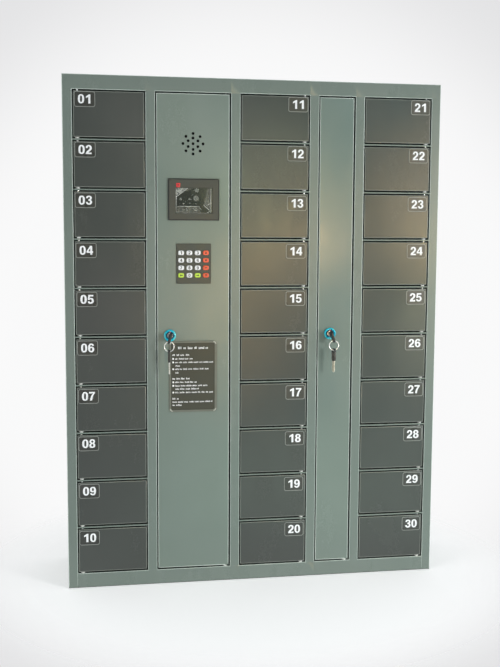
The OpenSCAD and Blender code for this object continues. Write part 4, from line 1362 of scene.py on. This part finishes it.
# ------------------------------------------------------------------ floor, light and camera
def studio_floor():
    """pale floor that runs out softly into the backdrop"""
    bm = bmesh.new()
    rings, seg = [0.0, 0.5, 1.0, 1.6, 2.3, 3.2, 4.5, 6.5], 64
    last = [bm.verts.new((0, 0, 0))]
    for r in rings[1:]:
        ring = [bm.verts.new((r * math.cos(2 * math.pi * k / seg), r * math.sin(2 * math.pi * k / seg), 0)) for k in range(seg)]
        for k in range(seg):
            j = (k + 1) % seg
            bm.faces.new([last[0], ring[k], ring[j]] if len(last) == 1 else [last[k], ring[k], ring[j], last[j]])
        last = ring
    me = bpy.data.meshes.new("studio_floor")
    bm.to_mesh(me)
    bm.free()
    m = Mat("pale_floor")
    n = m.noise(1.2, 2, 0.5)
    tone = m.ramp(n, [(0.2, (0.885, 0.885, 0.885, 1)), (0.8, (0.90, 0.90, 0.90, 1))])
    m.set(Base_Color=tone, Roughness=0.9, Specular_IOR_Level=0.1, Emission_Color=(1, 1, 1, 1), Emission_Strength=0.36)
    m.bump(m.noise(300.0, 2, 0.5), 0.05, 0.0002)
    # fades out with the distance from the cabinet
    dist = m.node("ShaderNodeVectorMath", operation="LENGTH")
    m.link(m.tc.outputs["Object"], dist.inputs[0])
    fade = m.node("ShaderNodeMapRange", interpolation_type="SMOOTHERSTEP")
    for k, v in (("From Min", 0.36), ("From Max", 0.70), ("To Min", 1.0), ("To Max", 0.0)):
        fade.inputs[k].default_value = v
    m.link(dist.outputs["Value"], fade.inputs["Value"])
    m.link(fade.outputs["Result"], m.p.inputs["Alpha"])
    me.materials.append(m.m)
    o = bpy.data.objects.new("studio_floor", me)
    scene.collection.objects.link(o)
    o.location.z = -0.0005


studio_floor()


def studio_world():
    """pale backdrop for the camera; a soft, darker room for light and reflections"""
    world = bpy.data.worlds.new("studio")
    scene.world = world
    world.use_nodes = True
    t = world.node_tree
    t.nodes.clear()

    def node(kind, **props):
        n = t.nodes.new(kind)
        for k, v in props.items():
            setattr(n, k, v)
        return n

    def mp(src, a, b, lo, hi, kind="SMOOTHSTEP"):
        n = node("ShaderNodeMapRange", interpolation_type=kind)
        for k, v in (("From Min", a), ("From Max", b), ("To Min", lo), ("To Max", hi)):
            n.inputs[k].default_value = v
        t.links.new(src, n.inputs["Value"])
        return n.outputs["Result"]

    def op(kind, a, b=None):
        n = node("ShaderNodeMath", operation=kind)
        for i, v in enumerate((a, b)):
            if isinstance(v, (int, float)):
                n.inputs[i].default_value = v
            elif v is not None:
                t.links.new(v, n.inputs[i])
        return n.outputs[0]

    def mix(fac, a, b):
        n = node("ShaderNodeMix", data_type="RGBA")
        for sock, v in ((n.inputs[0], fac), (n.inputs[6], a), (n.inputs[7], b)):
            if isinstance(v, (int, float, tuple)):
                sock.default_value = v
            else:
                t.links.new(v, sock)
        return n.outputs[2]

    tc = node("ShaderNodeTexCoord")
    d = tc.outputs["Generated"]
    # backdrop: brightest in the middle of the front view
    dot = node("ShaderNodeVectorMath", operation="DOT_PRODUCT")
    t.links.new(d, dot.inputs[0])
    dot.inputs[1].default_value = (0.1639, 0.9810, -0.1036)
    pale = mix(mp(dot.outputs["Value"], 0.919, 0.9705, 0.0, 1.0), (0.775, 0.775, 0.785, 1), (0.952, 0.952, 0.955, 1))
    pale = mix(mp(dot.outputs["Value"], 0.80, 0.895, 1.0, 0.0), pale, (0.900, 0.900, 0.905, 1))
    # room: dark in front on the left, greenish daylight in front on the right, pale above and behind
    sep = node("ShaderNodeSeparateXYZ")
    t.links.new(d, sep.inputs[0])
    x, y, z = sep.outputs
    front = mp(y, -0.85, -0.25, 1.0, 0.0)
    side = mp(op("DIVIDE", x, op("MAXIMUM", op("MULTIPLY", y, -1.0), 0.05)), ROOM[0], ROOM[1], 0.0, 1.0)
    slope = op("DIVIDE", z, op("MAXIMUM", op("MULTIPLY", y, -1.0), 0.05))
    ahead = mix(side, ROOM[2], ROOM[3])
    scaled = node("ShaderNodeVectorMath", operation="SCALE")
    t.links.new(ahead, scaled.inputs[0])
    t.links.new(mp(slope, 0.02, 0.24, 1.0, ROOM[5]), scaled.inputs["Scale"])
    low = mix(mp(slope, -0.30, -0.08, 1.0, 0.0), scaled.outputs["Vector"], ROOM[6])
    room = mix(front, ROOM[4], low)
    a, b = node("ShaderNodeBackground"), node("ShaderNodeBackground")
    t.links.new(pale, a.inputs["Color"])
    t.links.new(room, b.inputs["Color"])
    lp = node("ShaderNodeLightPath")
    sh = node("ShaderNodeMixShader")
    t.links.new(lp.outputs["Is Camera Ray"], sh.inputs[0])
    t.links.new(b.outputs[0], sh.inputs[1])
    t.links.new(a.outputs[0], sh.inputs[2])
    out = node("ShaderNodeOutputWorld")
    t.links.new(sh.outputs[0], out.inputs["Surface"])


ROOM = (-0.02, 0.26, (0.085, 0.07, 0.075, 1), (0.10, 0.49, 0.56, 1), (0.64, 0.66, 0.67, 1), 0.25, (0.74, 0.72, 0.76, 1))
studio_world()


def softbox(name, loc, target, size, power, color=(1, 1, 1), size_y=None, spread=180.0):
    d = bpy.data.lights.new(name, "AREA")
    d.shape = "RECTANGLE"
    d.size, d.size_y = size, size_y or size
    d.energy = power
    d.color = color
    d.spread = math.radians(spread)
    o = bpy.data.objects.new(name, d)
    scene.collection.objects.link(o)
    o.location = loc
    o.rotation_euler = (Vector(target) - Vector(loc)).to_track_quat("-Z", "Y").to_euler()
    o.visible_camera = False
    return o


softbox("key_right", (2.05, -2.3, 0.70), (0.0, -0.1, 0.15), 0.6, 11, size_y=1.2, spread=80.0)
softbox("fill_left", (-2.3, -1.7, 1.2), (0, -0.1, 0.4), 1.2, 14.4, size_y=1.3)
# what the paint mirrors: a warm patch high on the right, its tail at the far right, and a paler one in the middle
for name, loc, w, h, power, color in (
        ("glow_mid", (0.42, -2.45, 0.90), 0.20, 0.24, 2.0, (0.90, 1.0, 0.54)),
        ("glow_door", (0.56, -2.45, 0.72), 0.20, 0.24, 2.8, (1.0, 0.64, 0.26)),
        ("glow_spot", (0.73, -2.45, 0.66), 0.07, 0.10, 0.80, (1.0, 0.66, 0.38)),
        ("glow_faint", (-0.20, -2.45, 0.38), 0.34, 0.26, 0.45, (1.0, 0.74, 0.74)),
        ("glow_right", (1.28, -2.45, 0.81), 0.22, 0.46, 8.0, (1.0, 0.72, 0.34)),
        ("glow_low", (1.28, -2.45, 0.26), 0.20, 0.30, 2.5, (1.0, 0.98, 0.60)),
        ("glow_left", (0.27, -2.45, 0.38), 0.18, 0.56, 3.7, (1.0, 0.67, 0.27)),
        ("glow_floor", (0.72, -2.45, -0.42), 1.25, 0.45, 2.9, (0.72, 1.0, 0.76)),
        ("glow_high", (1.02, -2.45, 1.26), 0.34, 0.18, 0.55, (0.60, 0.95, 1.0)),
        ("glow_top", (0.05, -2.45, 1.18), 0.46, 0.24, 1.25, (1.0, 0.90, 0.80))):
    softbox(name, loc, (loc[0] * 0.5, -0.1, loc[2]), w, power, color, h).visible_diffuse = False

cam = bpy.data.cameras.new("camera")
cam.sensor_width = 36.0
cam.lens = 977.01 / 667.0 * 36.0
cam.clip_start, cam.clip_end = 0.05, 60.0
co = bpy.data.objects.new("camera", cam)
scene.collection.objects.link(co)
right = Vector((0.98639943, -0.1642992, 0.00468316))
fwd = Vector((0.16389544, 0.98102234, -0.10360233)).normalized()
up = right.cross(fwd).normalized()
fwd = (fwd + up * (0.5 / 977.01)).normalized()
up = right.cross(fwd).normalized()
right = fwd.cross(up).normalized()
co.matrix_world = Matrix(((right.x, up.x, -fwd.x, -0.3395), (right.y, up.y, -fwd.y, -2.0583),
                          (right.z, up.z, -fwd.z, 0.7227), (0, 0, 0, 1)))
scene.camera = co
scene.view_settings.view_transform = "Standard"
